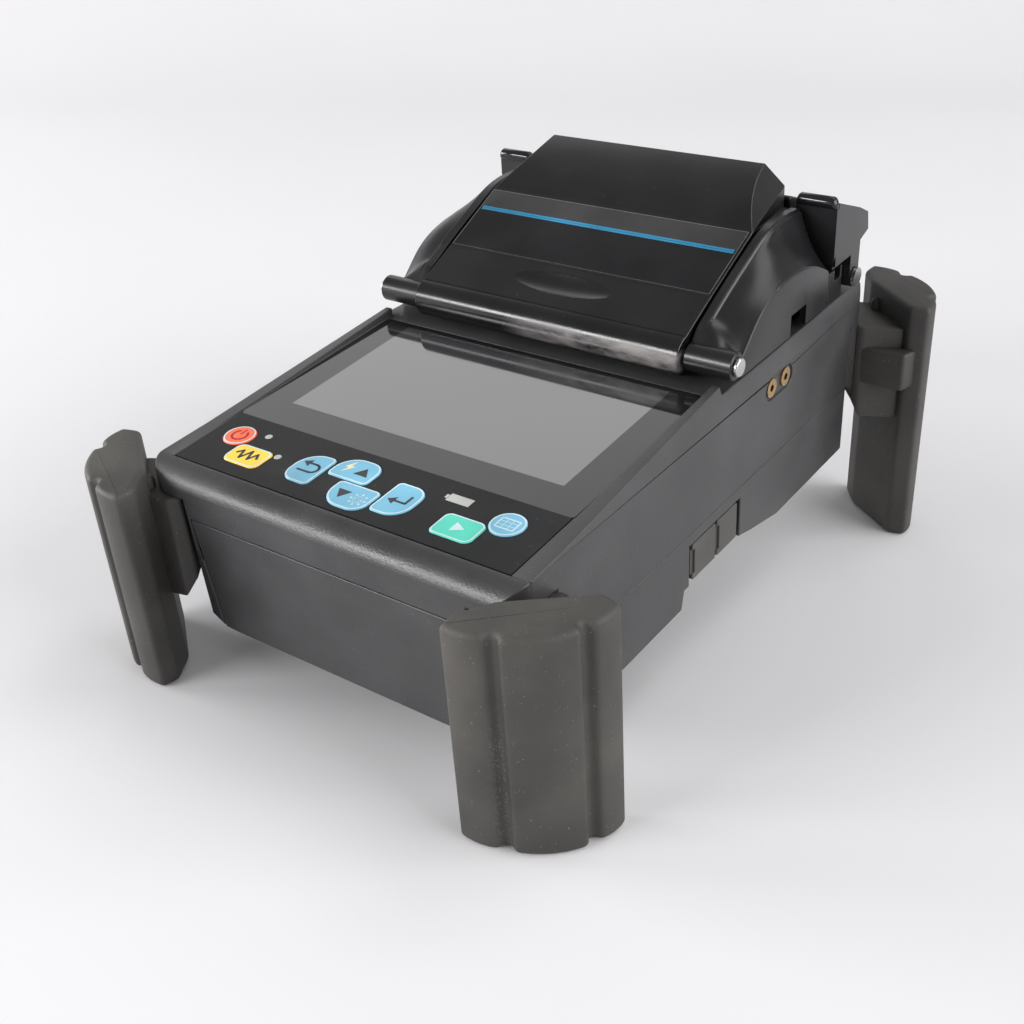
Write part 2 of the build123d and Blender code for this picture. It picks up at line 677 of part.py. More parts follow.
with BuildPart() as clamp_holders:
    for side in SIDES.values():
        block(span(side, 3.6, 14.4), (38.4, 49.6), (86.0, 97.0))
        block(span(side, 5.7, 12.3), (40.7, 47.3), (80.0, 95.2), mode=Mode.SUBTRACT)
keep(clamp_holders.part, "clamp_holders")

for name, side in SIDES.items():
    with BuildPart() as fiber_clamp:
        block(span(side, 6.0, 12.0), (41.0, 47.0), (80.0, 94.0))
        block(span(side, 7.0, 11.0), (42.2, 45.8), (FIBER_Z + 0.5, 80.0))
    keep(fiber_clamp.part, f"fiber_clamp_{name}")


# ---- side lids -------------------------------------------------------------------------------
LID_STATIONS = (8.6, 20.0, 32.0, 44.0, 55.0, LID_REAR)
LID_INNER_Z = (86.6, 92.2, 97.5, 102.2, 103.4, 102.6)
LID_OUTER_Z = (78.6, 87.9, 92.0, 92.3, 89.8, 84.8)


def lid_outline(heights, drop=0.0):
    """Side view of a side lid with its top edge at the given heights, lowered by drop."""
    top = [(y, z - drop) for y, z in zip(LID_STATIONS, heights)]
    with BuildLine(mode=Mode.PRIVATE) as line:
        Spline(*top)
        Polyline(top[-1], (LID_REAR, HOOD_FLOOR), (LID_STATIONS[0], HOOD_FLOOR), top[0])
    return line.line


for name, side in SIDES.items():
    with BuildPart() as side_lid:
        with BuildSketch(Plane.YZ.offset(side * LID_IN)):
            with BuildLine():
                add(lid_outline(LID_INNER_Z))
            make_face()
        extrude(amount=side * (LID_STRIP - LID_IN))
        with BuildSketch(Plane.YZ.offset(side * LID_STRIP)):
            with BuildLine():
                add(lid_outline(LID_INNER_Z))
            make_face()
        with BuildSketch(Plane.YZ.offset(side * LID_OUT)):
            with BuildLine():
                add(lid_outline(LID_OUTER_Z))
            make_face()
        loft(ruled=True)
        # Inner space above the fiber, open below.
        with BuildSketch(Plane.YZ.offset(side * (LID_IN + 2.0))):
            with BuildLine():
                add(lid_outline(LID_OUTER_Z, 2.4))
            make_face()
            with Locations((0, 0)):
                Rectangle(2 * (8.6 + 2.2), 200, mode=Mode.SUBTRACT)
            with Locations((LID_REAR, 0)):
                Rectangle(4.4, 200, mode=Mode.SUBTRACT)
        extrude(amount=side * (LID_OUT - LID_IN - 3.8), mode=Mode.SUBTRACT)
        # Notch that lets the fiber in, and its passage to the splicing chamber.
        block(span(side, LID_OUT - 3, 70), (39.6, 50.0), (70, 79.6), mode=Mode.SUBTRACT)
        block(span(side, LID_IN - 1, LID_IN + 3), FIBER_PASSAGE, (70, 79.0), mode=Mode.SUBTRACT)
        # Barrel on the hinge pin and its web.
        rod((side * LID_IN, HINGE_Y, HINGE_Z), (side * 63.0, HINGE_Y, HINGE_Z), BARREL_R)
        block(span(side, LID_IN, LID_OUT), (HINGE_Y, 10.4), (78.6, 82.0))
        rod((-70, HINGE_Y, HINGE_Z), (70, HINGE_Y, HINGE_Z), PIN_R + PIN_RUN, mode=Mode.SUBTRACT)
    keep(side_lid.part, f"side_lid_{name}")

    with BuildPart() as sheath_clamp:
        block(span(side, 51.0, 58.6), (39.0, 49.0), (FIBER_Z + 1.2, 83.0))
        block(span(side, 52.4, 57.2), (41.4, 46.6), (83.0, 86.6))
    keep(sheath_clamp.part, f"sheath_clamp_{name}")

# ---- splicing stage --------------------------------------------------------------------------
BASE_TOP = 63.0
with BuildPart() as stage_base:
    block((-55.6, 55.6), (WELL_FRONT + 0.3, WELL_REAR - 0.3), (BASE_TOP - 3, BASE_TOP))
    for x in (-50.0, 50.0):
        for y in (20.0, 58.0):
            rod((x, y, 42.0), (x, y, BASE_TOP - 3), 3.0)
    block((-4.4, 4.4), (20.0, WELL_REAR), (50, 70), mode=Mode.SUBTRACT)
    # Outer fiber rests, flush with the bottom of the side lids.
    for side in SIDES.values():
        block(span(side, 50.7, 55.6), (37.0, 51.0), (BASE_TOP, FIBER_Z + 0.7))
        passage = (FIBER_Y - 1.5, FIBER_Y + 1.5)
        block(span(side, 50, 60), passage, (FIBER_Z - 1, 80), mode=Mode.SUBTRACT)
keep(stage_base.part, "stage_base")

# Guide rods of the feed carriages and, below the base, the motors that drive them.
RAIL_Y = (38.0, 50.0)
RAIL_Z = 66.6
with BuildPart() as feed_drives:
    for side in SIDES.values():
        for y in RAIL_Y:
            rod((side * 15.6, y, RAIL_Z), (side * 44.4, y, RAIL_Z), 1.3)
        block(span(side, 14.0, 15.6), (35.0, 53.0), (BASE_TOP, 69.0))
        block(span(side, 44.4, 46.0), (35.0, 53.0), (BASE_TOP, 69.0))
        rod((side * 18.0, RAIL_Y[0], 53.0), (side * 34.0, RAIL_Y[0], 53.0), 5.0)
        rod((side * 15.0, RAIL_Y[0], 53.0), (side * 18.0, RAIL_Y[0], 53.0), 1.0)
keep(feed_drives.part, "feed_drives")

for name, side in SIDES.items():
    with BuildPart() as v_block:
        block(span(side, 4.8, 13.0), (38.0, 50.0), (BASE_TOP, FIBER_Z + 0.4))
        with BuildSketch(Plane.YZ.offset(side * 4.0)):
            with Locations((FIBER_Y, FIBER_Z + 1.0)):
                Rectangle(1.5, 1.5, rotation=45)
        extrude(amount=side * 12, mode=Mode.SUBTRACT)
    keep(v_block.part, f"v_block_{name}")

    with BuildPart() as feed_carriage:
        block(span(side, 17.0, 43.2), (35.0, 53.0), (BASE_TOP + 0.3, FIBER_Z + 0.3))
        block(
            span(side, 15.0, 47.0),
            (FIBER_Y - 1.5, FIBER_Y + 1.5),
            (FIBER_Z - 1, 80),
            mode=Mode.SUBTRACT,
        )
        for y in RAIL_Y:
            rod((side * 15.0, y, RAIL_Z), (side * 47.0, y, RAIL_Z), 1.35, mode=Mode.SUBTRACT)
    keep(feed_carriage.part, f"feed_carriage_{name}")

ELECTRODE_END = {"front": 19.0, "rear": 62.6}
for name, end in ENDS.items():
    with BuildPart() as electrode:
        back = ELECTRODE_END[name]
        rod((0, back, FIBER_Z), (0, FIBER_Y + end * 4.0, FIBER_Z), 1.0)
        tip = Plane(origin=(0, FIBER_Y + end * 4.0, FIBER_Z), z_dir=(0, -end, 0))
        with BuildSketch(tip):
            Circle(1.0)
        with BuildSketch(tip.offset(3.3)):
            Circle(0.08)
        loft()
    keep(electrode.part, f"electrode_{name}")

HOLDER_Y = {"front": (20.5, 31.0), "rear": (55.5, 62.0)}
with BuildPart() as electrode_holders:
    for low, high in HOLDER_Y.values():
        block((-13.0, 13.0), (low, high), (BASE_TOP, 79.0))
        block((-7.6, 7.6), (low - 1, high + 1), (BASE_TOP - 1, 72.6), mode=Mode.SUBTRACT)
    rod((0, 10, FIBER_Z), (0, 70, FIBER_Z), 1.0, mode=Mode.SUBTRACT)
keep(electrode_holders.part, "electrode_holders")

with BuildPart() as electrode_screws:
    for low, high in HOLDER_Y.values():
        middle = (low + high) / 2
        rod((0, middle, 79.0), (0, middle, 82.6), 2.8)
keep(electrode_screws.part, "electrode_screws")

OBJECTIVE_R = 3.4
focus = Vector(0, FIBER_Y, FIBER_Z)
for name, away in OBJECTIVE_AXES.items():
    near = focus + away * 8.0
    with BuildPart() as objective:
        rod(near, focus + away * 26.0, OBJECTIVE_R)
        rod(near - away, near + away * 2.2, 2.2, mode=Mode.SUBTRACT)
        rod(near + away * 1.0, near + away * 2.2, 2.2)
    keep(objective.part, f"objective_{name}")

with BuildPart() as arc_transformer:
    block((-17.0, 17.0), (66.0, 88.0), (20.0, 21.6))
    block((-14.0, 14.0), (68.0, 86.0), (21.6, 40.0))
keep(arc_transformer.part, "arc_transformer")

# ---- tube heater -----------------------------------------------------------------------------
with BuildPart() as heater_base:
    block((-HEATER_HALF, HEATER_HALF), (HEATER_FRONT, 91.6), (DECK_Z, 76.6))
    block((-HEATER_HALF, HEATER_HALF), (HEATER_FRONT, 85.6), (76.6, HEATER_Z))
    block((-60, 60), (HEATER_Y - 3.5, HEATER_Y + 3.5), (76.0, 90), mode=Mode.SUBTRACT)
    for side in SIDES.values():
        limits = span(side, 30.0, 38.0)
        rod((limits[0], *LID_PIN), (limits[1], *LID_PIN), 2.8)
        block(limits, (LID_PIN[0] - 2.8, LID_PIN[0] + 2.0), (75.0, LID_PIN[1]))
    rod((-50, *LID_PIN), (50, *LID_PIN), 1.2, mode=Mode.SUBTRACT)
keep(heater_base.part, "heater_base")

TROUGH_R = 2.8            # half the width of the channel for the sleeve
with BuildPart() as heater_trough:
    block((-44.0, 44.0), (HEATER_Y - 3.5, HEATER_Y + 3.5), (76.0, 83.6))
    block((-50, 50), (HEATER_Y - TROUGH_R, HEATER_Y + TROUGH_R), (79.8, 90), mode=Mode.SUBTRACT)
    rod((-50, HEATER_Y, 79.8), (50, HEATER_Y, 79.8), TROUGH_R, mode=Mode.SUBTRACT)
keep(heater_trough.part, "heater_trough")

REAR_ROOF = [(68.8, 104.9), (85.3, 98.6), (92.2, 95.2), (93.4, 89.2)]
with BuildPart() as heater_lid:
    with BuildSketch(Plane.YZ.offset(-HEATER_HALF + 0.2)):
        with BuildLine():
            Polyline((68.8, 84.5), *REAR_ROOF, (92.8, 84.5), close=True)
        make_face()
    extrude(amount=2 * HEATER_HALF - 0.4)
    fillet(heater_lid.edges().filter_by(Axis.X).group_by(Axis.Z)[-1], 1.2)
    block((-60, 60), (HEATER_Y - 4, HEATER_Y + 4), (80, 87.0), mode=Mode.SUBTRACT)
    block((-29.4, 29.4), (87.2, 92.0), (LID_PIN[1], 85.5))
    rod((-29.4, *LID_PIN), (29.4, *LID_PIN), 2.8)
    rod((-50, *LID_PIN), (50, *LID_PIN), 1.25, mode=Mode.SUBTRACT)
keep(heater_lid.part, "heater_lid")

CLAMP_LUG = (54.0, 57.0)
with BuildPart() as heater_clamp_rests:
    for side in SIDES.values():
        block(span(side, CLAMP_IN + 0.4, 60.3), (70.0, 80.0), (DECK_Z, 81.6))
        block(span(side, 40, 70), (HEATER_Y - 2.2, HEATER_Y + 2.2), (78.0, 90), mode=Mode.SUBTRACT)
        limits = span(side, *CLAMP_LUG)
        block(limits, (CLAMP_PIN[0] - 3.2, CLAMP_PIN[0] + 3.2), (DECK_Z, CLAMP_PIN[1]))
        rod((limits[0], *CLAMP_PIN), (limits[1], *CLAMP_PIN), 3.2)
    rod((-70, *CLAMP_PIN), (70, *CLAMP_PIN), 1.5, mode=Mode.SUBTRACT)
keep(heater_clamp_rests.part, "heater_clamp_rests")

with BuildPart() as heater_pins:
    rod((-38.0, *LID_PIN), (38.0, *LID_PIN), 1.2)
    for side in SIDES.values():
        rod((side * (CLAMP_IN + 0.6), *CLAMP_PIN), (side * 62.7, *CLAMP_PIN), 1.5)
        rod((side * 62.7, *CLAMP_PIN), (side * 63.8, *CLAMP_PIN), 3.0)
keep(heater_pins.part, "heater_pins")

for name, side in SIDES.items():
    with BuildPart() as heater_clamp:
        with BuildSketch(Plane.YZ.offset(side * CLAMP_IN)):
            with BuildLine():
                Polyline(
                    (68.8, 84.6),
                    *REAR_ROOF,
                    (87.6, 87.4),
                    (CLAMP_PIN[0] + 3.3, CLAMP_PIN[1]),
                    (CLAMP_PIN[0] - 3.3, CLAMP_PIN[1]),
                    (80.8, 84.6),
                    close=True,
                )
            make_face()
        extrude(amount=side * (CLAMP_OUT - CLAMP_IN))
        rod((side * CLAMP_IN, *CLAMP_PIN), (side * CLAMP_OUT, *CLAMP_PIN), 3.3)
        # Finger tab with a rolled top, in front of the clamp.
        with BuildSketch(Plane.XZ.offset(-68.8)):
            with Locations((side * (CLAMP_IN + CLAMP_OUT) / 2, 95.6)):
                RectangleRounded(CLAMP_OUT - CLAMP_IN, 20.6, 3.0)
        extrude(amount=1.3)
        rod((side * (CLAMP_IN + 1.4), 68.2, 105.2), (side * (CLAMP_OUT - 1.4), 68.2, 105.2), 1.4)
        # Pad that presses on the sleeve.
        block(span(side, CLAMP_IN + 0.8, CLAMP_OUT - 2.2), (72.0, 80.0), (82.2, 84.7))
        slot = (side * (CLAMP_LUG[0] - 0.4), side * (CLAMP_LUG[1] + 0.4))
        rod((slot[0], *CLAMP_PIN), (slot[1], *CLAMP_PIN), 7.0, mode=Mode.SUBTRACT)
        rod((side * 40, *CLAMP_PIN), (side * 70, *CLAMP_PIN), 1.55, mode=Mode.SUBTRACT)
    keep(heater_clamp.part, f"heater_clamp_{name}")


# ---- corner guards ---------------------------------------------------------------------------
GUARD_RIM_R = 1.2         # rounding of a guard's foot and bevel of its top
GUARD_ARM_LOW = 25.0
GUARD_LUG = (38.0, 51.0)  # heights of the lug beside the arm
GUARD_REAR_SHIFT = 1.6    # the rear guards stand a little further out than the front ones
FIN_TOP = 61.6            # top of the fin between a guard and the case corner
BELOW_FLOOR = -40.0       # the guards are drawn from here and cut off at the floor


def guard_section():
    """Plan view of the front right guard: a crescent with two grooves."""
    with BuildLine(mode=Mode.PRIVATE) as line:
        ThreePointArc((54.2, -120.4), (59.8, -120.7), (65.0, -119.2))
        ThreePointArc((65.0, -119.2), (66.4, -116.5), (69.0, -118.0))
        ThreePointArc((69.0, -118.0), (76.9, -113.0), (82.4, -105.4))
        ThreePointArc((82.4, -105.4), (80.8, -103.0), (83.7, -101.5))
        ThreePointArc((83.7, -101.5), (84.9, -97.2), (84.7, -92.4))
        Polyline(
            (84.7, -92.4),
            (79.0, -90.8),
            (59.6, -106.0),
            (53.8, -114.8),
            (54.2, -120.4),
        )
    return line.line


def guard_blank():
    """The front right guard before it is cut off at the floor."""
    with BuildPart() as blank:
        # Arm that holds the guard on the cut corner of the case, arched underneath.
        with BuildSketch(Plane.XY.offset(GUARD_ARM_LOW)):
            with BuildLine():
                Polyline(
                    (50.9, -102.6),
                    (63.2, -88.9),
                    (63.2, -86.2),
                    (66.0, -86.2),
                    (78.6, -91.6),
                    (71.0, -98.0),
                    (60.5, -106.6),
                    (53.0, -106.0),
                    close=True,
                )
            make_face()
        extrude(amount=GUARD_SEAT_TOP - 0.2 - GUARD_ARM_LOW)
        arch = ((44.0, -113.5, GUARD_ARM_LOW), (73.0, -77.2, GUARD_ARM_LOW))
        rod(*arch, 5.0, mode=Mode.SUBTRACT)
        with BuildSketch(Plane.XY.offset(GUARD_LUG[0])):
            with BuildLine():
                Polyline((63.2, -86.2), (80.6, -86.2), (82.4, -91.8), (72.0, -97.0), close=True)
            make_face()
        extrude(amount=GUARD_LUG[1] - GUARD_LUG[0])
        rod((62.9, -103.3, GUARD_ARM_LOW + 6), (62.9, -103.3, FIN_TOP), 1.7)
        fillet(blank.faces().sort_by(Axis.Z)[-1].edges(), 1.2)
        with BuildSketch(Plane.XY.offset(BELOW_FLOOR)):
            with BuildLine():
                add(guard_section())
            make_face()
        extrude(amount=GUARD_TOP - BELOW_FLOOR)
    return blank.part


def make_guard(side, end):
    """One rubber guard, mirrored to its corner and standing on the floor."""
    piece = guard_blank()
    if side < 0:
        piece = mirror(piece, about=Plane.YZ)
    if end > 0:
        piece = Pos(0, GUARD_REAR_SHIFT, 0) * mirror(piece, about=Plane.XZ)
    with BuildPart() as guard:
        add(piece)
        split(bisect_by=FLOOR, keep=Keep.TOP)
        foot = guard.faces().sort_by(Axis(FLOOR.origin, FLOOR.z_dir))[0]
        fillet(foot.edges(), GUARD_RIM_R)
        chamfer(guard.faces().sort_by(Axis.Z)[-1].edges(), GUARD_RIM_R)
    return guard.part


for end_name, end in ENDS.items():
    for side_name, side in SIDES.items():
        keep(make_guard(side, end), f"corner_guard_{end_name}_{side_name}")
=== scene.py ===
import json
from math import atan2, cos, pi, radians, sin

import bmesh
import bpy
from mathutils import Matrix, Vector


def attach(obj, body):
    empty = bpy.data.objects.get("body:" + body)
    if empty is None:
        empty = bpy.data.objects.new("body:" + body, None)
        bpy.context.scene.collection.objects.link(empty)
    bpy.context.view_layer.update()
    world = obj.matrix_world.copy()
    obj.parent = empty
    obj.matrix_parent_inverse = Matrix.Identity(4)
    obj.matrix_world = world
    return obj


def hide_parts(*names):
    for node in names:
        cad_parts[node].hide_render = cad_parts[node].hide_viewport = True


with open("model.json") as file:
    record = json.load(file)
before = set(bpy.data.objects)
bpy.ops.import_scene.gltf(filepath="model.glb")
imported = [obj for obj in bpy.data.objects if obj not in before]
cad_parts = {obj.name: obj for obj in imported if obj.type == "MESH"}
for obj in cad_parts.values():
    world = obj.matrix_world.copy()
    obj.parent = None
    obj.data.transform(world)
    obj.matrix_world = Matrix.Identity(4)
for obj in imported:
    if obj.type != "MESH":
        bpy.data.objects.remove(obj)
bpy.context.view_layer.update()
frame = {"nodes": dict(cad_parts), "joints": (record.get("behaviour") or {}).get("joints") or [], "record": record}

NODES = frame["nodes"]
BODY_OF = {n: b for b, ns in frame["record"]["behaviour"]["bodies"].items() for n in ns}
SLOT_OF = {s["node"]: s["material_slot"] for s in frame["record"]["subparts"]}
MM = 0.001
SIDES = (("left", -1), ("right", 1))
ENDS = (("front", -1), ("rear", 1))

# ---- the case's own axes ---------------------------------------------------------------------
# The case is pitched forward on its guards. Everything below is placed in the case's own axes, in
# millimetres, and STANCE stands it on the floor: its turn comes from the battery's slide and its
# place from the hinge of the wind cover.
JOINTS = {joint["name"]: joint for joint in frame["joints"]}
HINGE = Vector((0, 3.6, 78.4))
SLIDE = JOINTS["battery_slide"]["axis"]
PITCH = atan2(-SLIDE[2], -SLIDE[1])
TURN = Matrix.Rotation(PITCH, 4, "X")
STANCE = (
    Matrix.Translation(Vector(JOINTS["wind_cover_hinge"]["pos_m"]) - TURN @ (HINGE * MM))
    @ TURN
    @ Matrix.Scale(MM, 4)
)
TO_CASE = STANCE.inverted()

# ---- camera ----------------------------------------------------------------------------------
CAMERA_PLACE = Vector((211.0, -293.0, 236.2))
CAMERA_FORWARD = Vector((-0.5221, 0.6737, -0.5231)).normalized()
CAMERA_RIGHT = Vector((0.8107, 0.5824, -0.0592))
CAMERA_LENS, SENSOR_WIDTH = 45.87, 36.0


def make_camera():
    forward = CAMERA_FORWARD
    right = (CAMERA_RIGHT - forward * CAMERA_RIGHT.dot(forward)).normalized()
    up = right.cross(forward)
    data = bpy.data.cameras.new("camera")
    data.sensor_width = SENSOR_WIDTH
    data.lens = CAMERA_LENS
    data.clip_start = 0.01
    made = bpy.data.objects.new("camera", data)
    axes = Matrix((right, up, -forward)).transposed().to_4x4()
    made.matrix_world = Matrix.Translation(STANCE @ CAMERA_PLACE) @ TURN @ axes
    bpy.context.scene.collection.objects.link(made)
    bpy.context.scene.camera = made
    bpy.context.scene.view_settings.view_transform = "Standard"


make_camera()


# ---- material helpers ------------------------------------------------------------------------
class Nodes:
    """A material's node tree with short calls for the nodes that the looks here are made of."""

    def __init__(self, name, color, rough, **shader):
        self.material = bpy.data.materials.new(name)
        self.material.use_nodes = True
        self.tree = self.material.node_tree
        self.shader = self.tree.nodes["Principled BSDF"]
        self.set(base_color=(*color, 1.0), roughness=rough, **shader)
        self.place = self.tree.nodes.new("ShaderNodeTexCoord").outputs["Object"]

    def set(self, **values):
        for key, value in values.items():
            label = key.replace("_", " ").title().replace("Ior", "IOR")
            self.shader.inputs[label].default_value = value

    def link(self, value, socket):
        if isinstance(value, bpy.types.NodeSocket):
            self.tree.links.new(value, socket)
        else:
            socket.default_value = value

    def noise(self, scale, detail=3.0, rough=0.5, stretch=None, distortion=0.0):
        made = self.tree.nodes.new("ShaderNodeTexNoise")
        made.inputs["Scale"].default_value = scale
        made.inputs["Detail"].default_value = detail
        made.inputs["Roughness"].default_value = rough
        made.inputs["Distortion"].default_value = distortion
        self.tree.links.new(self.stretched(stretch), made.inputs["Vector"])
        return made.outputs["Fac"]

    def stretched(self, stretch):
        """The place on the surface, scaled along each axis when stretch says so."""
        if not stretch:
            return self.place
        made = self.tree.nodes.new("ShaderNodeMapping")
        made.inputs["Scale"].default_value = stretch
        self.tree.links.new(self.place, made.inputs["Vector"])
        return made.outputs["Vector"]

    def ramp(self, value, low, high, start=0.0, end=1.0):
        """Maps value from low..high to start..end, held at both ends."""
        made = self.tree.nodes.new("ShaderNodeMapRange")
        made.inputs["From Min"].default_value = low
        made.inputs["From Max"].default_value = high
        made.inputs["To Min"].default_value = start
        made.inputs["To Max"].default_value = end
        self.link(value, made.inputs["Value"])
        return made.outputs["Result"]

    def math(self, operation, a, b):
        made = self.tree.nodes.new("ShaderNodeMath")
        made.operation = operation
        self.link(a, made.inputs[0])
        self.link(b, made.inputs[1])
        return made.outputs[0]

    def times(self, a, b):
        return self.math("MULTIPLY", a, b)

    def mix(self, share, a, b):
        """Mix of the colours or sockets a and b, with share of b."""
        made = self.tree.nodes.new("ShaderNodeMix")
        made.data_type = "RGBA"
        self.link(share, made.inputs["Factor"])
        for value, socket in ((a, made.inputs[6]), (b, made.inputs[7])):
            self.link(value if isinstance(value, bpy.types.NodeSocket) else (*value, 1.0), socket)
        return made.outputs[2]

    def bump(self, height, strength, distance, below=None):
        """A normal from height, on top of the normal below when there is one."""
        made = self.tree.nodes.new("ShaderNodeBump")
        made.inputs["Strength"].default_value = strength
        made.inputs["Distance"].default_value = distance
        self.link(height, made.inputs["Height"])
        if below is not None:
            self.tree.links.new(below, made.inputs["Normal"])
        return made.outputs["Normal"]

    def case_axes(self):
        """The place on the surface in the case's own axes, in millimetres, as three sockets."""
        turned = self.tree.nodes.new("ShaderNodeMapping")
        turned.inputs["Location"].default_value = TO_CASE.translation
        turned.inputs["Rotation"].default_value = (-PITCH, 0, 0)
        turned.inputs["Scale"].default_value = (1 / MM, 1 / MM, 1 / MM)
        self.tree.links.new(self.place, turned.inputs["Vector"])
        made = self.tree.nodes.new("ShaderNodeSeparateXYZ")
        self.tree.links.new(turned.outputs["Vector"], made.inputs[0])
        return made.outputs["X"], made.outputs["Y"], made.outputs["Z"]

    def within(self, value, low, high, soft):
        """One where value is between low and high, falling to zero over soft outside."""
        rise = self.ramp(value, low - soft, low)
        fall = self.ramp(value, high, high + soft, 1.0, 0.0)
        return self.times(rise, fall)

    def color(self, socket):
        self.tree.links.new(socket, self.shader.inputs["Base Color"])

    def rough(self, socket):
        self.tree.links.new(socket, self.shader.inputs["Roughness"])

    def normal(self, socket):
        self.tree.links.new(socket, self.shader.inputs["Normal"])


DUST = (0.30, 0.29, 0.27)


def moulded(name, color, rough, grain=0.25, grain_scale=2200.0, rubs=0.15, dust=0.15, **shader):
    """Moulded plastic: fine grain, slow changes of gloss, rubbed patches and specks of dust."""
    m = Nodes(name, color, rough, **shader)
    fine = m.noise(grain_scale, detail=2.0)
    slow = m.noise(38.0, detail=4.0)
    handled = m.noise(9.0, detail=2.0)
    rubbed = m.ramp(m.noise(70.0, detail=4.0, rough=0.6, stretch=(0.4, 1.0, 1.0)), 0.55, 0.8)
    specks = m.times(m.ramp(m.noise(900.0, detail=1.0), 0.70, 0.76), m.ramp(slow, 0.45, 0.62))
    lighter = tuple(min(1.0, c * 1.5 + 0.004) for c in color)
    base = m.mix(m.ramp(slow, 0.35, 0.7), color, lighter)
    base = m.mix(m.times(rubbed, rubs), base, tuple(c * 0.3 for c in DUST))
    base = m.mix(m.times(specks, dust), base, DUST)
    m.color(base)
    spread = m.ramp(slow, 0.3, 0.7, rough - 0.04, rough + 0.05)
    m.rough(m.math("ADD", spread, m.ramp(handled, 0.4, 0.7, -0.02, 0.04)))
    m.normal(m.bump(fine, grain, 0.0001))
    return m.material


case_black = moulded(
    "case_black", (0.033, 0.0328, 0.0345), 0.35, grain=0.75, grain_scale=1500.0
)
hood_black = moulded("hood_black", (0.005, 0.005, 0.006), 0.30, grain=0.12, rubs=0.06, dust=0.05)
gloss_black = moulded("gloss_black", (0.004, 0.004, 0.005), 0.14, grain=0.03, rubs=0.04, dust=0.05)
flap_rubber = moulded("flap_rubber", (0.06, 0.058, 0.055), 0.6, grain=0.5)


def make_guard_rubber():
    """Worn rubber with specks, and dust caked in one groove of the front right guard."""
    m = Nodes("guard_rubber", (0.045, 0.042, 0.038), 0.62)
    slow = m.noise(30.0, detail=5.0)
    wide = m.noise(9.0, detail=3.0)
    worn = m.ramp(slow, 0.42, 0.68)
    base = m.mix(worn, (0.034, 0.032, 0.030), (0.072, 0.067, 0.060))
    base = m.mix(m.ramp(wide, 0.45, 0.75, 0.0, 0.35), base, (0.095, 0.088, 0.078))
    specks = m.ramp(m.noise(1400.0, detail=1.0), 0.72, 0.77)
    base = m.mix(m.times(specks, 0.35), base, (0.28, 0.26, 0.23))
    x, y, z = m.case_axes()
    groove = m.times(m.within(x, 64.6, 67.2, 1.0), m.within(y, -118.6, -115.0, 1.0))
    caked = m.ramp(m.noise(2200.0, detail=3.0), 0.52, 0.7)
    dusty = m.times(m.times(groove, m.within(z, 8.0, 34.0, 14.0)), caked)
    base = m.mix(m.times(dusty, 0.4), base, (0.26, 0.24, 0.20))
    m.color(base)
    m.rough(m.ramp(slow, 0.3, 0.7, 0.52, 0.72))
    fine = m.noise(1800.0, detail=3.0)
    m.normal(m.bump(fine, 0.45, 0.00018, m.bump(m.noise(160.0, detail=4.0), 0.25, 0.0006)))
    return m.material


def metal(name, color, rough):
    m = Nodes(name, color, rough, metallic=1.0)
    slow = m.noise(120.0, detail=3.0)
    m.rough(m.ramp(slow, 0.3, 0.7, rough - 0.05, rough + 0.08))
    m.color(m.mix(m.ramp(slow, 0.35, 0.7), color, tuple(c * 0.8 for c in color)))
    m.normal(m.bump(m.noise(900.0, stretch=(0.2, 1.0, 1.0)), 0.15, 0.00005))
    return m.material


guard_rubber = make_guard_rubber()
steel = metal("bright_steel", (0.62, 0.61, 0.60), 0.25)
dark_steel = metal("dark_steel", (0.12, 0.12, 0.13), 0.35)
gold = metal("gold_plate", (0.56, 0.37, 0.17), 0.25)
brass = metal("turned_brass", (0.75, 0.58, 0.30), 0.30)
alloy = metal("stage_alloy", (0.45, 0.46, 0.48), 0.38)
ceramic = moulded("ceramic", (0.70, 0.69, 0.65), 0.4, grain=0.1, dust=0.05)
board_green = moulded("board_green", (0.02, 0.13, 0.06), 0.4, grain=0.2)
pad_rubber = moulded("pad_rubber", (0.02, 0.02, 0.02), 0.7, grain=0.4)
lamp_lens = moulded("lamp_lens", (0.35, 0.36, 0.34), 0.35, grain=0.1)
KEY_COLORS = {
    "key_red": (0.84, 0.13, 0.05), "key_yellow": (0.90, 0.52, 0.05),
    "key_blue": (0.14, 0.37, 0.51), "key_green": (0.07, 0.50, 0.38),
}
key_looks = {
    slot: moulded(slot, color, 0.42, grain=0.12, dust=0.05) for slot, color in KEY_COLORS.items()
}
film_black = moulded(
    "film_black", (0.012, 0.0122, 0.013), 0.5, grain=0.2, specular_ior_level=0.2
)
glass_black = moulded("glass_black", (0.02, 0.02, 0.022), 0.06, grain=0.0)


def ink(name, color, rough=0.45, dust=0.05):
    return moulded(f"ink_{name}", color, rough, grain=0.1, dust=dust)


ink_pale = ink("pale", (0.46, 0.58, 0.63))
ink_dark = ink("dark", (0.02, 0.022, 0.026))
ink_red = ink("red", (0.50, 0.02, 0.04))
ink_sand = ink("sand", (0.62, 0.58, 0.36))
ink_blue = ink("blue", (0.014, 0.17, 0.31), rough=0.35)
ink_band = ink("band", (0.024, 0.024, 0.025), rough=0.3, dust=0.08)
ink_edge = ink("edge", (0.10, 0.10, 0.10), rough=0.4)


def make_screen(name, dark, pale, ior):
    """Smooth smoked glass, with faint smears in its gloss."""
    m = Nodes(name, dark, 0.06, ior=ior)
    m.color(m.mix(m.ramp(m.noise(14.0, detail=3.0), 0.3, 0.7), dark, pale))
    m.rough(m.ramp(m.noise(40.0, detail=4.0, distortion=0.6), 0.4, 0.7, 0.04, 0.09))
    m.normal(m.bump(m.noise(25.0, detail=1.0), 0.02, 0.0004))
    return m.material


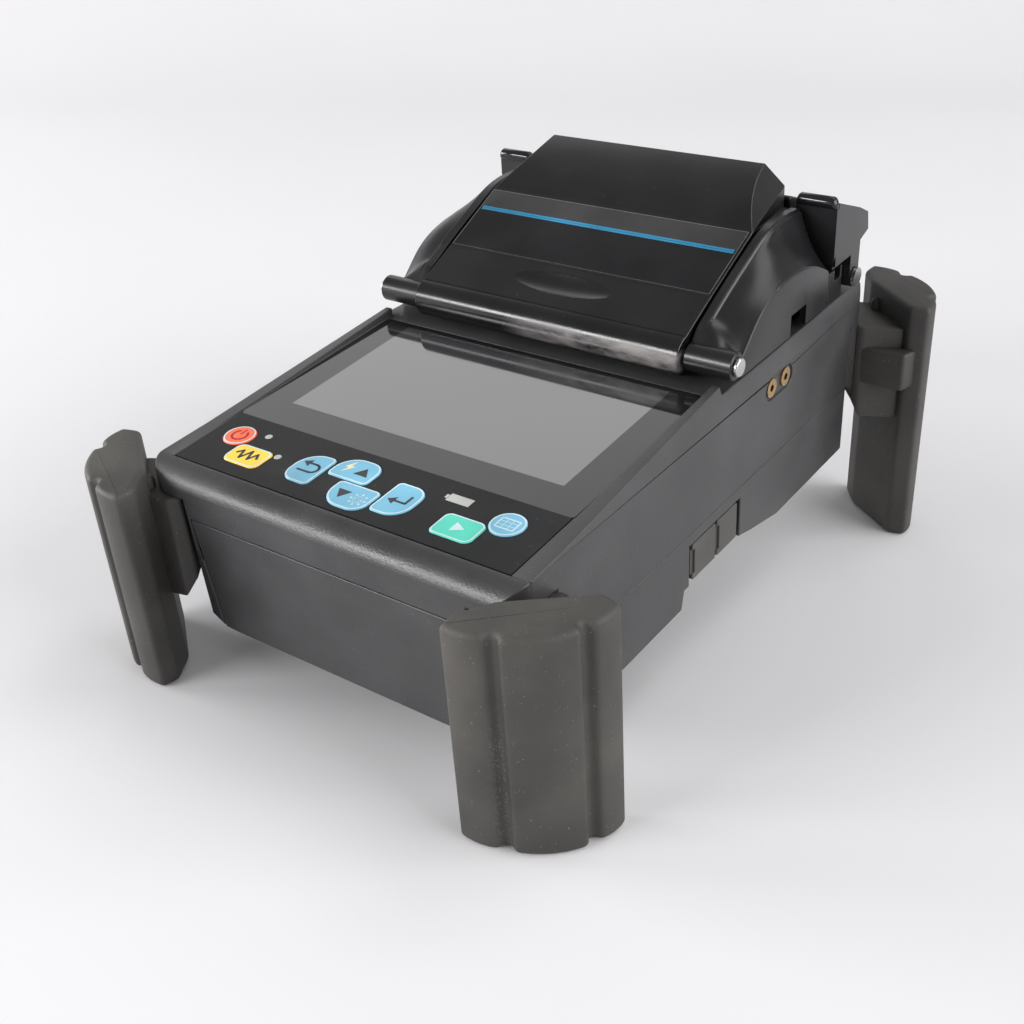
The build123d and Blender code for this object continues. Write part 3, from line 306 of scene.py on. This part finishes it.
def make_hood():
    """The wind cover's black, glossier on its rolled lip, whose right half carries a pale band along its middle
    height: partly real scuffs, partly a painted highlight.
    """
    m = Nodes("hood_lip_black", (0.006, 0.006, 0.007), 0.22)
    x, y, z = m.case_axes()
    slow = m.noise(38.0, detail=4.0)
    lip = m.ramp(y, 2.2, 3.4, 1.0, 0.0)
    # Pale band on the lip's right half, along its middle height: partly real scuffs, partly a painted highlight,
    # broken up by blotches.
    rubbed = m.times(m.within(x, 10.0, 46.0, 24.0), m.within(z, 75.6, 80.0, 1.6))
    blotch = m.ramp(m.noise(160.0, detail=5.0, rough=0.6, stretch=(0.5, 1.3, 1.3)), 0.3, 0.65)
    scuff_and_highlight = m.times(m.times(rubbed, lip), blotch)
    specks = m.ramp(m.noise(900.0, detail=1.0), 0.72, 0.77, 0.0, 0.12)
    worn = m.times(specks, m.ramp(slow, 0.45, 0.6))
    base = m.mix(m.ramp(slow, 0.35, 0.7), (0.004, 0.004, 0.005), (0.007, 0.007, 0.008))
    base = m.mix(worn, base, (0.22, 0.21, 0.20))
    # The pale colour mixed in here is the lip's painted highlight together with its real scuffs.
    m.color(m.mix(m.times(scuff_and_highlight, 0.75), base, (0.34, 0.32, 0.31)))
    body = m.ramp(slow, 0.3, 0.7, 0.27, 0.36)
    glossy = m.math("SUBTRACT", body, m.times(lip, 0.12))
    m.rough(m.math("ADD", glossy, m.times(scuff_and_highlight, 0.3)))
    m.normal(m.bump(m.noise(2200.0, detail=2.0), 0.14, 0.0001))
    return m.material


screen_look = make_screen("screen_cover", (0.010, 0.010, 0.011), (0.014, 0.014, 0.015), 1.5)
display_look = make_screen("display_glass", (0.035, 0.035, 0.038), (0.042, 0.042, 0.045), 2.2)
OWN_LOOK = {"display_window": screen_look, "wind_cover": make_hood()}
SLOT_LOOK = {
    "case_plastic": case_black, "battery_plastic": case_black, "hood_plastic": hood_black,
    "socket_plastic": flap_rubber, "screen_cover": glass_black, "lcd": glass_black,
    "membrane": film_black, "lamp": lamp_lens, "board": board_green, "cover_rubber": flap_rubber,
    "guard_rubber": guard_rubber, "pad_rubber": pad_rubber, "label": gloss_black,
    "ceramic": ceramic, "stage_metal": alloy, "bright_steel": steel, "dark_steel": dark_steel,
    "insert_brass": brass, "gold_contact": gold, "lens_barrel": dark_steel, **key_looks,
}
for node, made in NODES.items():
    made.data.materials.clear()
    made.data.materials.append(OWN_LOOK.get(node) or SLOT_LOOK[SLOT_OF[node]])


# ---- mesh helpers ----------------------------------------------------------------------------
def piece(name, form, look, body):
    """A finished bmesh, already in metres in the row frame, as a piece that rides on a body."""
    mesh = bpy.data.meshes.new(name)
    form.to_mesh(mesh)
    form.free()
    made = bpy.data.objects.new(name, mesh)
    mesh.materials.append(look)
    bpy.context.scene.collection.objects.link(made)
    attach(made, body)
    return made


def smooth_by_angle(made, angle):
    for polygon in made.data.polygons:
        polygon.use_smooth = True
    made.data.set_sharp_from_angle(angle=radians(angle))


def ring(x, y, radius, count=32, start=0.0, end=360.0):
    """Points round a circle, or along an arc when start and end say so."""
    steps = count if end - start >= 360.0 else count - 1
    angles = [radians(start + (end - start) * i / steps) for i in range(count)]
    return [(x + radius * cos(a), y + radius * sin(a)) for a in angles]


def merged(node, join_faces=True):
    """A bmesh of a CAD node, with its flat faces joined up again unless told otherwise."""
    form = bmesh.new()
    form.from_mesh(NODES[node].data)
    bmesh.ops.remove_doubles(form, verts=form.verts, dist=1e-6)
    if join_faces:
        bmesh.ops.dissolve_limit(
            form, angle_limit=radians(0.5), verts=form.verts, edges=form.edges
        )
    return form


WITH_WINDOWS = ("upper_case",)   # flat faces with openings, which would close if joined up
SHARP_FROM = 28.0                # an edge is rounded when its faces meet at more than this


def softened(node, width, clamp=False):
    """The CAD node's shape with its sharp edges rounded off, in place of the node."""
    look = NODES[node].data.materials[0]
    form = merged(node, join_faces=node not in WITH_WINDOWS)
    made = piece(f"{node}_shell", form, look, BODY_OF[node])
    smooth_by_angle(made, SHARP_FROM)
    bevel = made.modifiers.new("edges", "BEVEL")
    bevel.limit_method = "ANGLE"
    bevel.angle_limit = radians(SHARP_FROM)
    bevel.width = width * MM
    bevel.segments = 2
    bevel.use_clamp_overlap = clamp
    weighted = made.modifiers.new("normals", "WEIGHTED_NORMAL")
    weighted.keep_sharp = True
    weighted.weight = 80
    depsgraph = bpy.context.evaluated_depsgraph_get()
    finished = bpy.data.meshes.new_from_object(made.evaluated_get(depsgraph))
    made.modifiers.clear()
    made.data = finished
    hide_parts(node)


SOFT_EDGES = {
    "battery_pack": 0.35, "wind_cover": 0.3, "heater_lid": 0.4, "heater_base": 0.3,
    "usb_cover": 0.2, "inlet_cover": 0.2, "hinge_brackets": 0.3, "heater_clamp_rests": 0.3,
    "upper_case": 0.3, "lower_case": 0.3, "heater_clamp_left": 0.5, "heater_clamp_right": 0.5,
}
for node, width in SOFT_EDGES.items():
    softened(node, width, clamp=node.startswith("heater_clamp_"))


def loft(form, rings, closed_ends=True):
    """Joins rings of points in the case's axes, all of one length, into a skin."""
    rows = [[form.verts.new(STANCE @ Vector(point)) for point in points] for points in rings]
    count = len(rings[0])
    for a, b in zip(rows, rows[1:]):
        for i in range(count):
            j = (i + 1) % count
            form.faces.new((a[i], a[j], b[j], b[i]))
    if closed_ends:
        form.faces.new(rows[0][::-1])
        form.faces.new(rows[-1])


# ---- corner guards ---------------------------------------------------------------------------
GUARD_TOP = 66.0
GUARD_ROUND = 1.9         # rounding of the worn rims
ROUND_STEPS = 6
REAR_SHIFT = 1.6          # the rear guards mirror the front ones about Y = half of this
FLOOR_MEETS = -110.0      # where the floor plane meets the case's z = 0
ARM = [(50.9, -102.6), (63.2, -88.9), (63.2, -86.2), (66.0, -86.2), (77.6, -92.2), (71.0, -99.0),
       (60.5, -107.6), (53.0, -106.0)]
ARM_LOW, ARM_TOP = 25.0, 57.8
ARM_RISE = 6.0            # the arm's underside is this much higher along its first three corners
LUG = [(63.2, -86.3), (80.4, -86.3), (82.2, -92.2), (72.0, -98.4)]
LUG_LOW, LUG_TOP = 38.0, 51.0
ARM_ROUND = 0.9
FIN = (62.9, -103.3)
FIN_RINGS = ((33.0, 1.7), (60.0, 1.7), (61.0, 1.3), (61.6, 0.5))   # height and radius
GUARD_ARCS = [
    ((54.2, -120.4), (59.8, -120.7), (65.0, -119.2)),
    ((65.0, -119.2), (66.4, -116.5), (69.0, -118.0)),
    ((69.0, -118.0), (76.9, -113.0), (82.4, -105.4)),
    ((82.4, -105.4), (80.8, -103.0), (83.7, -101.5)),
    ((83.7, -101.5), (84.9, -97.2), (84.7, -92.4)),
]
GUARD_INSIDE = [(84.7, -92.4), (79.0, -90.8), (59.6, -106.0), (53.8, -114.8), (54.2, -120.4)]


def evenly(points, count):
    """The closed outline through the points, with its points spread evenly."""
    loop = [Vector(p) for p in points] + [Vector(points[0])]
    lengths = [0.0]
    for a, b in zip(loop, loop[1:]):
        lengths.append(lengths[-1] + (b - a).length)
    spread, k = [], 0
    for i in range(count):
        along = lengths[-1] * i / count
        while lengths[k + 1] < along:
            k += 1
        share = (along - lengths[k]) / (lengths[k + 1] - lengths[k])
        spread.append(loop[k].lerp(loop[k + 1], share))
    return spread


def relaxed(points, rounds):
    """The outline with its corners worn round: each point moves towards its neighbours."""
    for _ in range(rounds):
        points = [
            (points[i - 1] + points[i] * 2 + points[(i + 1) % len(points)]) / 4
            for i in range(len(points))
        ]
    return points


def inset(points, amount):
    """The outline drawn in by amount, kept smooth."""
    moved = []
    for i, point in enumerate(points):
        along = (points[(i + 1) % len(points)] - points[i - 1]).normalized()
        moved.append(point + Vector((-along.y, along.x)) * amount)
    return relaxed(moved, int(abs(amount) * 6))


def guard_outline():
    """The guard's outline: an arc through each three points, and its inner side of flats."""
    points = []
    for a, b, c in GUARD_ARCS:
        a, b, c = Vector(a), Vector(b), Vector(c)
        for i in range(12):
            t = i / 12
            near, middle, far = 2 * (t - 0.5) * (t - 1), -4 * t * (t - 1), 2 * t * (t - 0.5)
            points.append(a * near + b * middle + c * far)
    points += [Vector(p) for p in GUARD_INSIDE[:-1]]
    return relaxed(evenly(points, 330), 14)


def make_guard(name, end, side, outline):
    """Guard body with worn rims, its arm, its lug and the fin beside the case corner."""
    def corner(x, y, z):
        return (side * x, y if end < 0 else REAR_SHIFT - y, z)

    def floor_z(y):
        return -(y - FLOOR_MEETS) * sin(PITCH) / cos(PITCH)

    form = bmesh.new()
    for block, low, rise, top in ((ARM, ARM_LOW, ARM_RISE, ARM_TOP), (LUG, LUG_LOW, 0, LUG_TOP)):
        loft(form, [
            [corner(x, y, low + (rise if i < 3 else 0)) for i, (x, y) in enumerate(block)],
            [corner(x, y, top) for x, y in block],
        ])
    bmesh.ops.bevel(
        form, geom=form.edges[:], offset=ARM_ROUND * MM, segments=3, profile=0.5, affect="EDGES"
    )
    loft(form, [
        [corner(*point, z) for point in ring(*FIN, radius, 20)] for z, radius in FIN_RINGS
    ])
    turns = [pi / 2 * i / ROUND_STEPS for i in range(ROUND_STEPS + 1)]
    rings = []
    for a in reversed(turns):
        places = [corner(p.x, p.y, 0) for p in inset(outline, GUARD_ROUND * (1 - cos(a)))]
        rings.append([(x, y, floor_z(y) + GUARD_ROUND * (1 - sin(a))) for x, y, _ in places])
    for a in turns:
        drawn = inset(outline, GUARD_ROUND * (1 - cos(a)))
        rings.append([corner(p.x, p.y, GUARD_TOP - GUARD_ROUND * (1 - sin(a))) for p in drawn])
    loft(form, rings)
    bmesh.ops.recalc_face_normals(form, faces=form.faces)
    made = piece(f"{name}_body", form, guard_rubber, "case")
    smooth_by_angle(made, 40)
    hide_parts(name)


guard_line = guard_outline()
for end_name, end in ENDS:
    for side_name, side in SIDES:
        make_guard(f"corner_guard_{end_name}_{side_name}", end, side, guard_line)

# ---- side lids -------------------------------------------------------------------------------
LID_STATIONS = (8.6, 20.0, 32.0, 44.0, 55.0, 65.4)
LID_INNER_Z = (86.6, 92.2, 97.5, 102.2, 103.4, 102.6)
LID_OUTER_Z = (78.6, 87.9, 92.0, 92.3, 89.8, 84.8)
LID_FRONT, LID_BACK = LID_STATIONS[0], LID_STATIONS[-1]
LID_IN, LID_STRIP, LID_OUT = 48.1, 51.2, 62.0   # inner wall, end of the raised strip, outer wall
LID_FLOOR = 73.0
LID_WALL = 2.0
LID_ROOM = (10.8, 63.2)         # the hollow inside, along Y
NOTCH = (39.6, 50.0, 79.6)      # opening in the outer wall: from and to along Y, and its top
PASSAGE = (40.6, 47.4, 79.0)    # the same for the inner wall, where the fiber passes
PANEL_STEPS = 10
BULGE, SAG = 0.8, 3.4           # how far the panel's middle stands proud, and then drops
SAG_FROM, SAG_LENGTH = 26.0, 39.4   # where along Y the panel starts to sag, and for how long
BARREL_R, BARREL_END, BARREL_ROUND = 4.1, 63.0, 0.35
PIN_HOLE = 1.55
# Sections in front of the panel, and how far each has risen from the barrel to the panel's height.
LID_NOSE = ((4.2, 0.04), (5.2, 0.28), (6.2, 0.52), (7.0, 0.7), (7.8, 0.87))
NOSE_UPPER = LID_FLOOR + 5.4        # section points over this are drawn onto the barrel


def curve_at(values, y):
    """The value at y of a smooth curve through the lid's stations."""
    k = max(i for i in range(len(LID_STATIONS) - 1) if LID_STATIONS[i] <= y or i == 0)
    y0, y1 = LID_STATIONS[k], LID_STATIONS[k + 1]

    def slope(i):
        low, high = max(i - 1, 0), min(i + 1, len(values) - 1)
        return (values[high] - values[low]) / (LID_STATIONS[high] - LID_STATIONS[low])

    t, run = (y - y0) / (y1 - y0), y1 - y0
    start = values[k] * (1 + 2 * t) * (1 - t) ** 2 + values[k + 1] * t * t * (3 - 2 * t)
    return start + run * (slope(k) * t * (1 - t) ** 2 - slope(k + 1) * t * t * (1 - t))


def lid_section(y, hollow):
    """Section of a side lid across X: raised strip, sloping panel, outer wall, hollow inside."""
    inner, outer = curve_at(LID_INNER_Z, y), curve_at(LID_OUTER_Z, y)
    drop = min(0.7, max(0.0, (y - 9.5) * 0.3))
    points = [(LID_IN, inner - 0.4), (LID_IN + 0.35, inner), (LID_STRIP - 0.5, inner),
              (LID_STRIP - 0.1, inner - 0.3), (LID_STRIP + 0.2, inner - 0.2 - drop)]
    start_x, start_z = LID_STRIP + 0.7, inner - 0.35 - drop
    end_x, end_z = LID_OUT - 0.9, outer + 0.25
    rise = BULGE - SAG * max(0.0, (y - SAG_FROM) / SAG_LENGTH) ** 1.5
    for i in range(PANEL_STEPS + 1):
        t = i / PANEL_STEPS
        bulge = rise * sin(pi * t if rise > 0 else pi * t ** 0.8)
        points.append((start_x + (end_x - start_x) * t, start_z + (end_z - start_z) * t + bulge))
    points += [(LID_OUT - 0.35, outer - 0.1), (LID_OUT, outer - 0.9)]
    foot = NOTCH[2] if NOTCH[0] <= y <= NOTCH[1] else LID_FLOOR
    points += [(LID_OUT, foot), (LID_OUT - LID_WALL, foot)]
    ceiling = outer - 2.4 if hollow else LID_FLOOR + 0.02
    points += [(LID_OUT - LID_WALL, max(ceiling, foot + 0.01)), (LID_IN + LID_WALL, ceiling)]
    foot = PASSAGE[2] if PASSAGE[0] <= y <= PASSAGE[1] else LID_FLOOR
    points += [(LID_IN + LID_WALL, min(foot, ceiling)), (LID_IN, foot)]
    return points


def lathe(form, side, profile, count=56):
    """Turns a closed (x, radius) profile about the hinge line."""
    rings = []
    for i in range(count + 1):
        a = 2 * pi * i / count
        rings.append([(side * x, HINGE.y + r * cos(a), HINGE.z + r * sin(a)) for x, r in profile])
    loft(form, rings, closed_ends=False)
    bmesh.ops.remove_doubles(form, verts=form.verts, dist=1e-7)


def nose_height(z, share):
    """Height of a point of the front section where it has risen by share from the barrel."""
    on_barrel = BARREL_R - 0.5 if z > NOSE_UPPER else 0.0
    return HINGE.z + max(0.0, z - HINGE.z) * share + on_barrel * (1 - share)


def make_lid(name, side):
    form = bmesh.new()
    lathe(form, side, [
        (LID_IN, PIN_HOLE), (LID_IN, BARREL_R - BARREL_ROUND), (LID_IN + BARREL_ROUND, BARREL_R),
        (BARREL_END - BARREL_ROUND, BARREL_R), (BARREL_END, BARREL_R - BARREL_ROUND),
        (BARREL_END, PIN_HOLE),
    ])
    stations = [LID_FRONT + (LID_BACK - LID_FRONT) * i / 56 for i in range(56)]
    stations += [LID_BACK - 0.15, LID_BACK]
    for low, high in (LID_ROOM, NOTCH[:2], PASSAGE[:2]):
        stations += [low - 0.01, low + 0.01, high - 0.01, high + 0.01]
    rings = []
    for y, share in LID_NOSE:
        section = lid_section(LID_FRONT, False)
        rings.append([(side * x, y, nose_height(z, share)) for x, z in section])
    for y in sorted(stations):
        section = lid_section(y, LID_ROOM[0] < y < LID_ROOM[1])
        pull = 0.25 if y == LID_BACK else 0.0     # rounds the rear edge off
        rings.append([(side * x, y, z - (pull if z > LID_FLOOR + 3 else 0)) for x, z in section])
    loft(form, rings)
    bmesh.ops.recalc_face_normals(form, faces=form.faces)
    made = piece(f"side_lid_{name}_body", form, hood_black, f"side_lid_{name}_body")
    smooth_by_angle(made, 34)
    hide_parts(f"side_lid_{name}")


for side_name, side in SIDES:
    make_lid(side_name, side)

# ---- finger tabs of the heater clamps --------------------------------------------------------
CLAMP_IN, CLAMP_OUT = 49.0, 62.4
ROLL_Y, ROLL_Z, ROLL_R = 67.9, 105.0, 1.9
ROLL_STRAIGHT = 0.78      # share of the roll's half length before its end rounds off
ROLL_SHARES = (-1.0, -0.985, -0.94, -0.87, -0.78, 0.78, 0.87, 0.94, 0.985, 1.0)


def make_roll(name, side):
    """The rolled top of a clamp's tab, thinner and lower towards its two ends."""
    form = bmesh.new()
    middle, half = (CLAMP_IN + CLAMP_OUT) / 2, (CLAMP_OUT - CLAMP_IN) / 2
    rings = []
    for share in ROLL_SHARES:
        over = max(0.0, abs(share) - ROLL_STRAIGHT) / (1 - ROLL_STRAIGHT)
        radius = ROLL_R * max(0.05, (1 - min(1.0, over) ** 2) ** 0.5)
        x = side * (middle + half * share)
        rings.append([(x, y, z - over ** 2) for y, z in ring(ROLL_Y, ROLL_Z, radius, 24)])
    loft(form, rings)
    bmesh.ops.recalc_face_normals(form, faces=form.faces)
    made = piece(f"heater_clamp_{name}_roll", form, gloss_black, f"heater_clamp_{name}_body")
    smooth_by_angle(made, 50)


for side_name, side in SIDES:
    make_roll(side_name, side)


# ---- printed marks ---------------------------------------------------------------------------
class Sheet:
    """A flat drawing surface in the case's axes: its x is the case's X, its y runs along it."""

    def __init__(self, origin, along, normal):
        self.origin = Vector(origin)
        self.x = Vector((1, 0, 0))
        self.y = Vector(along).normalized()
        self.z = Vector(normal).normalized()

    def at(self, x, y, height=0.0):
        return STANCE @ (self.origin + self.x * x + self.y * y + self.z * height)


def slab(form, sheet, points, low, high):
    """A thin closed plate with the given outline, from height low to high over the sheet."""
    lower = [form.verts.new(sheet.at(x, y, low)) for x, y in points]
    upper = [form.verts.new(sheet.at(x, y, high)) for x, y in points]
    form.faces.new(upper)
    form.faces.new(lower[::-1])
    for i in range(len(points)):
        j = (i + 1) % len(points)
        form.faces.new((lower[i], lower[j], upper[j], upper[i]))


def stroke(form, sheet, points, width, low, high):
    """A printed line along the points, with round joints."""
    for (ax, ay), (bx, by) in zip(points, points[1:]):
        length = ((bx - ax) ** 2 + (by - ay) ** 2) ** 0.5
        nx, ny = -(by - ay) / length * width / 2, (bx - ax) / length * width / 2
        corners = [(ax - nx, ay - ny), (bx - nx, by - ny), (bx + nx, by + ny), (ax + nx, ay + ny)]
        slab(form, sheet, corners, low, high)
    for x, y in points[1:-1]:
        slab(form, sheet, ring(x, y, width / 2, 10), low, high)


PRESS = JOINTS["power_key_press"]["axis"]
DECK_TILT = atan2(PRESS[1], -PRESS[2]) - PITCH
DECK = Sheet(
    (0, 0, 71.6), (0, cos(DECK_TILT), sin(DECK_TILT)), (0, -sin(DECK_TILT), cos(DECK_TILT))
)
INK = 0.03                # thickness of a printed mark
SUNK = 0.02               # how far a mark or pane reaches into what it lies on
KEY_TOP = 0.35            # height of the key caps over the deck
ON_KEY = (KEY_TOP - 0.01, KEY_TOP + INK)
RIM_WIDE = 0.38           # width of the line round a key
KEY_CENTRES = {
    "power": (-48.0, -80.9), "heat": (-37.9, -87.9), "back": (-18.2, -84.6), "up": (-5.4, -79.4),
    "down": (1.1, -89.9), "enter": (14.1, -85.2), "start": (34.9, -87.9), "view": (45.0, -80.9),
}


def key_rim(name):
    """The pale line round the top of a key cap, just inside its chamfer."""
    cap = merged(f"key_{name}")
    up = (STANCE.to_3x3() @ DECK.z).normalized()
    top = max((f for f in cap.faces if f.normal.dot(up) > 0.99), key=lambda f: f.calc_area())
    corners = [TO_CASE @ v.co - DECK.origin for v in top.verts]
    outline = evenly([(p.dot(DECK.x), p.dot(DECK.y)) for p in corners], 96)
    cap.free()
    centre = sum(outline, Vector((0, 0))) / len(outline)
    turned = sum(
        (outline[i - 1] - centre).cross(outline[i] - centre) for i in range(len(outline))
    )
    inner = inset(outline, RIM_WIDE if turned > 0 else -RIM_WIDE)
    form = bmesh.new()
    low, high = ON_KEY
    loft(form, [
        [DECK.origin + DECK.x * p.x + DECK.y * p.y + DECK.z * height for p in points]
        for points, height in ((outline, low), (outline, high), (inner, high), (inner, low))
    ], closed_ends=False)
    bmesh.ops.recalc_face_normals(form, faces=form.faces)
    piece(f"key_{name}_rim", form, ink_pale, f"{name}_key")


def key_mark(name, tag, look, shapes=(), lines=(), width=0.7):
    """A symbol printed on a key cap, from closed shapes and open lines about the cap's middle."""
    cx, cy = KEY_CENTRES[name]
    form = bmesh.new()
    for shape in shapes:
        slab(form, DECK, [(cx + x, cy + y) for x, y in shape], *ON_KEY)
    for line in lines:
        stroke(form, DECK, [(cx + x, cy + y) for x, y in line], width, *ON_KEY)
    piece(f"key_{name}_{tag}", form, look, f"{name}_key")


for name in KEY_CENTRES:
    key_rim(name)
key_mark("power", "symbol", ink_red, lines=[ring(0, 0, 2.3, 20, 120, 420), [(0, 0.3), (0, 3.0)]])
zigzag = [(-4.2, -0.2), (-2.8, 1.6), (-1.6, -1.9), (0.0, 2.2), (1.2, -1.6), (2.6, 1.6), (3.8, -0.6)]
key_mark("heat", "symbol", ink_dark, lines=[zigzag], width=0.8)
key_mark(
    "back", "symbol", ink_dark,
    shapes=[[(-3.2, 2.0), (-0.8, 0.4), (-0.8, 3.6)]],
    lines=[[(-1.0, 2.0), (1.4, 2.0), *ring(1.4, 0.1, 1.9, 9, 80, -80), (1.4, -1.8), (-2.6, -1.8)]],
    width=0.75,
)
key_mark("up", "symbol", ink_dark, shapes=[[(0.2, -1.8), (4.8, -1.8), (2.5, 1.7)]])
bolt = [(-2.2, 3.2), (-4.2, 0.0), (-2.9, 0.1), (-3.8, -2.6), (-1.2, 0.9), (-2.5, 0.8)]
key_mark("up", "bolt", ink_sand, shapes=[bolt])
key_mark("down", "symbol", ink_dark, shapes=[[(-4.8, 1.7), (-0.4, 1.7), (-2.6, -1.9)]])
SUN = (3.2, -0.3)
disc = ring(*SUN, 1.25, 20)
rays = [list(ends) for ends in zip(ring(*SUN, 1.9, 8), ring(*SUN, 2.6, 8))]
key_mark("down", "sun", ink_pale, lines=[disc + disc[:1], *rays], width=0.45)
key_mark(
    "enter", "symbol", ink_dark,
    shapes=[[(-3.3, -0.8), (-1.0, 0.8), (-1.0, -2.4)]],
    lines=[[(-1.2, -0.8), (2.4, -0.8), (2.4, 2.6)]],
    width=0.75,
)
key_mark("start", "symbol", ink_pale, shapes=[[(-1.4, -1.9), (2.0, 0.0), (-1.4, 1.9)]])
GRID_X, GRID_Y = 2.7, 2.0
square = [(-GRID_X, -GRID_Y), (GRID_X, -GRID_Y), (GRID_X, GRID_Y), (-GRID_X, GRID_Y)]
key_mark("view", "symbol", ink_pale, lines=[square + square[:1]], width=0.4)
grid = [[(-GRID_X, y), (GRID_X, y)] for y in (-0.7, 0.7)]
grid += [[(x, -GRID_Y), (x, GRID_Y)] for x in (-0.9, 0.9)]
key_mark("view", "grid", ink_pale, lines=grid, width=0.14)


def box(left, right, low, high):
    """Outline of a rectangle."""
    return [(left, low), (right, low), (right, high), (left, high)]


def plate(name, look, outline, on_node, height):
    """A thin plate that stands height over the top of a case node on the deck."""
    points = [TO_CASE @ v.co - DECK.origin for v in NODES[on_node].data.vertices]
    top = max(p.dot(DECK.z) for p in points)
    form = bmesh.new()
    slab(form, DECK, outline, top - SUNK, top + height)
    piece(name, form, look, "case")


# The charging lamp is shaped like a battery: its small terminal stands at the left end.
LAMP_LEFT, LAMP_Y = 24.2, -77.7
TERMINAL = (0.9, 1.5)
plate(
    "lamp_terminal", lamp_lens,
    box(LAMP_LEFT - TERMINAL[0], LAMP_LEFT - 0.1,
        LAMP_Y - TERMINAL[1] / 2, LAMP_Y + TERMINAL[1] / 2),
    "keypad_membrane", INK,
)

# The display under the screen's cover: a paler pane in the middle of it.
DISPLAY_X, DISPLAY_Y = 47.5, (-60.0, -6.2)
plate(
    "display_pane", display_look, box(-DISPLAY_X, DISPLAY_X, *DISPLAY_Y), "display_window", 0.02
)

# Label on the wind cover: a dark grey band above a double blue line, and a thin light edge.
# Places on it are measured down from the cover's crease.
HOOD_BEND, HOOD_CREASE = Vector((0, 16.0, 90.3)), Vector((0, 42.0, 101.9))
DOWN_FACE = (HOOD_BEND - HOOD_CREASE).normalized()
FACE = Sheet(HOOD_CREASE, DOWN_FACE, (0, DOWN_FACE.z, -DOWN_FACE.y))
LABEL_HALF, LABEL_TOP, LABEL_LOW = 46.4, 0.25, 26.35
LABEL_UP = 0.3            # thickness of the label itself
LINES_AT = ((8.05, 8.75), (8.9, 9.6))
EDGE_WIDE = 0.22


def across(margin, top, low):
    """Outline of a band across the label, margin short of its sides."""
    half = LABEL_HALF - margin
    return [(-half, low), (half, low), (half, top), (-half, top)]


def label_mark(name, look, plates, height):
    form = bmesh.new()
    for points in plates:
        slab(form, FACE, points, LABEL_UP - SUNK, LABEL_UP + height)
    piece(name, form, look, "wind_cover_body")


label_mark("label_band", ink_band, [across(0.35, LABEL_TOP + 0.35, LINES_AT[0][0])], 0.02)
label_mark("label_line", ink_blue, [across(0.8, *line) for line in LINES_AT], INK)
edge = across(0.1, LABEL_TOP + 0.1, LABEL_LOW - 0.1)
form = bmesh.new()
stroke(form, FACE, edge + edge[:2], EDGE_WIDE, LABEL_UP - SUNK, LABEL_UP + 0.02)
piece("label_edge", form, ink_edge, "wind_cover_body")

# ---- floor, backdrop and light: in metres, in the row frame ----------------------------------
FLOOR_HALF = 4.0
BEND_FROM, BEND_RADIUS, BACKDROP_TOP = 0.9, 0.9, 0.95
BEND_STEPS = 16
BACKDROP_TURN = 37.8      # degrees, so that the backdrop faces the camera
PAPER_DARK, PAPER, PAPER_PALE = (0.755, 0.745, 0.76), (0.765, 0.755, 0.77), (0.775, 0.765, 0.78)


def make_floor():
    """Paper floor that bends up into a backdrop behind the object."""
    mesh = bpy.data.meshes.new("floor")
    form = bmesh.new()
    profile = [(-FLOOR_HALF, 0.0), (BEND_FROM, 0.0)]
    for i in range(1, BEND_STEPS + 1):
        a = i / BEND_STEPS * pi / 2
        profile.append((BEND_FROM + BEND_RADIUS * sin(a), BEND_RADIUS * (1 - cos(a))))
    profile.append((BEND_FROM + BEND_RADIUS, BACKDROP_TOP))
    rows = [[form.verts.new((x, y, z)) for x in (-FLOOR_HALF, FLOOR_HALF)] for y, z in profile]
    for a, b in zip(rows, rows[1:]):
        form.faces.new((a[0], a[1], b[1], b[0]))
    form.to_mesh(mesh)
    form.free()
    made = bpy.data.objects.new("floor", mesh)
    for polygon in mesh.polygons:
        polygon.use_smooth = True
    made.rotation_euler = (0, 0, radians(BACKDROP_TURN))
    bpy.context.scene.collection.objects.link(made)
    look = Nodes("floor_paper", PAPER, 0.9)
    look.color(look.mix(look.ramp(look.noise(3.0), 0.3, 0.7), PAPER_DARK, PAPER_PALE))
    mesh.materials.append(look.material)


make_floor()


def area_light(name, place, target, size, power):
    """A rectangular white light at place, facing target; size in metres and power in watts."""
    data = bpy.data.lights.new(name, "AREA")
    data.shape = "RECTANGLE"
    data.size, data.size_y = size
    data.energy = power
    made = bpy.data.objects.new(name, data)
    made.location = place
    made.rotation_euler = (Vector(target) - Vector(place)).to_track_quat("-Z", "Y").to_euler()
    bpy.context.scene.collection.objects.link(made)


area_light("front_light", (-0.65, -1.35, 0.5), (0, 0, 0.06), (0.9, 0.24), 17)
area_light("left_light", (-1.5, -0.6, 0.35), (0, 0, 0.06), (0.8, 0.5), 18)
area_light("right_light", (1.9, 0.35, 0.85), (0, 0, 0.05), (2.3, 1.3), 44)
area_light("top_light", (0.5, 0.8, 2.0), (0.3, 0.6, 0), (1.2, 1.0), 9)
# The screen mirrors this one towards the camera.
area_light("screen_light", (-0.90, 0.90, 1.0), (0, -0.03, 0.08), (0.85, 0.5), 1.55)

world = bpy.data.worlds.new("studio")
world.use_nodes = True
sky = world.node_tree.nodes["Background"]
sky.inputs["Color"].default_value = (1.0, 1.0, 1.0, 1.0)
sky.inputs["Strength"].default_value = 0.33
bpy.context.scene.world = world
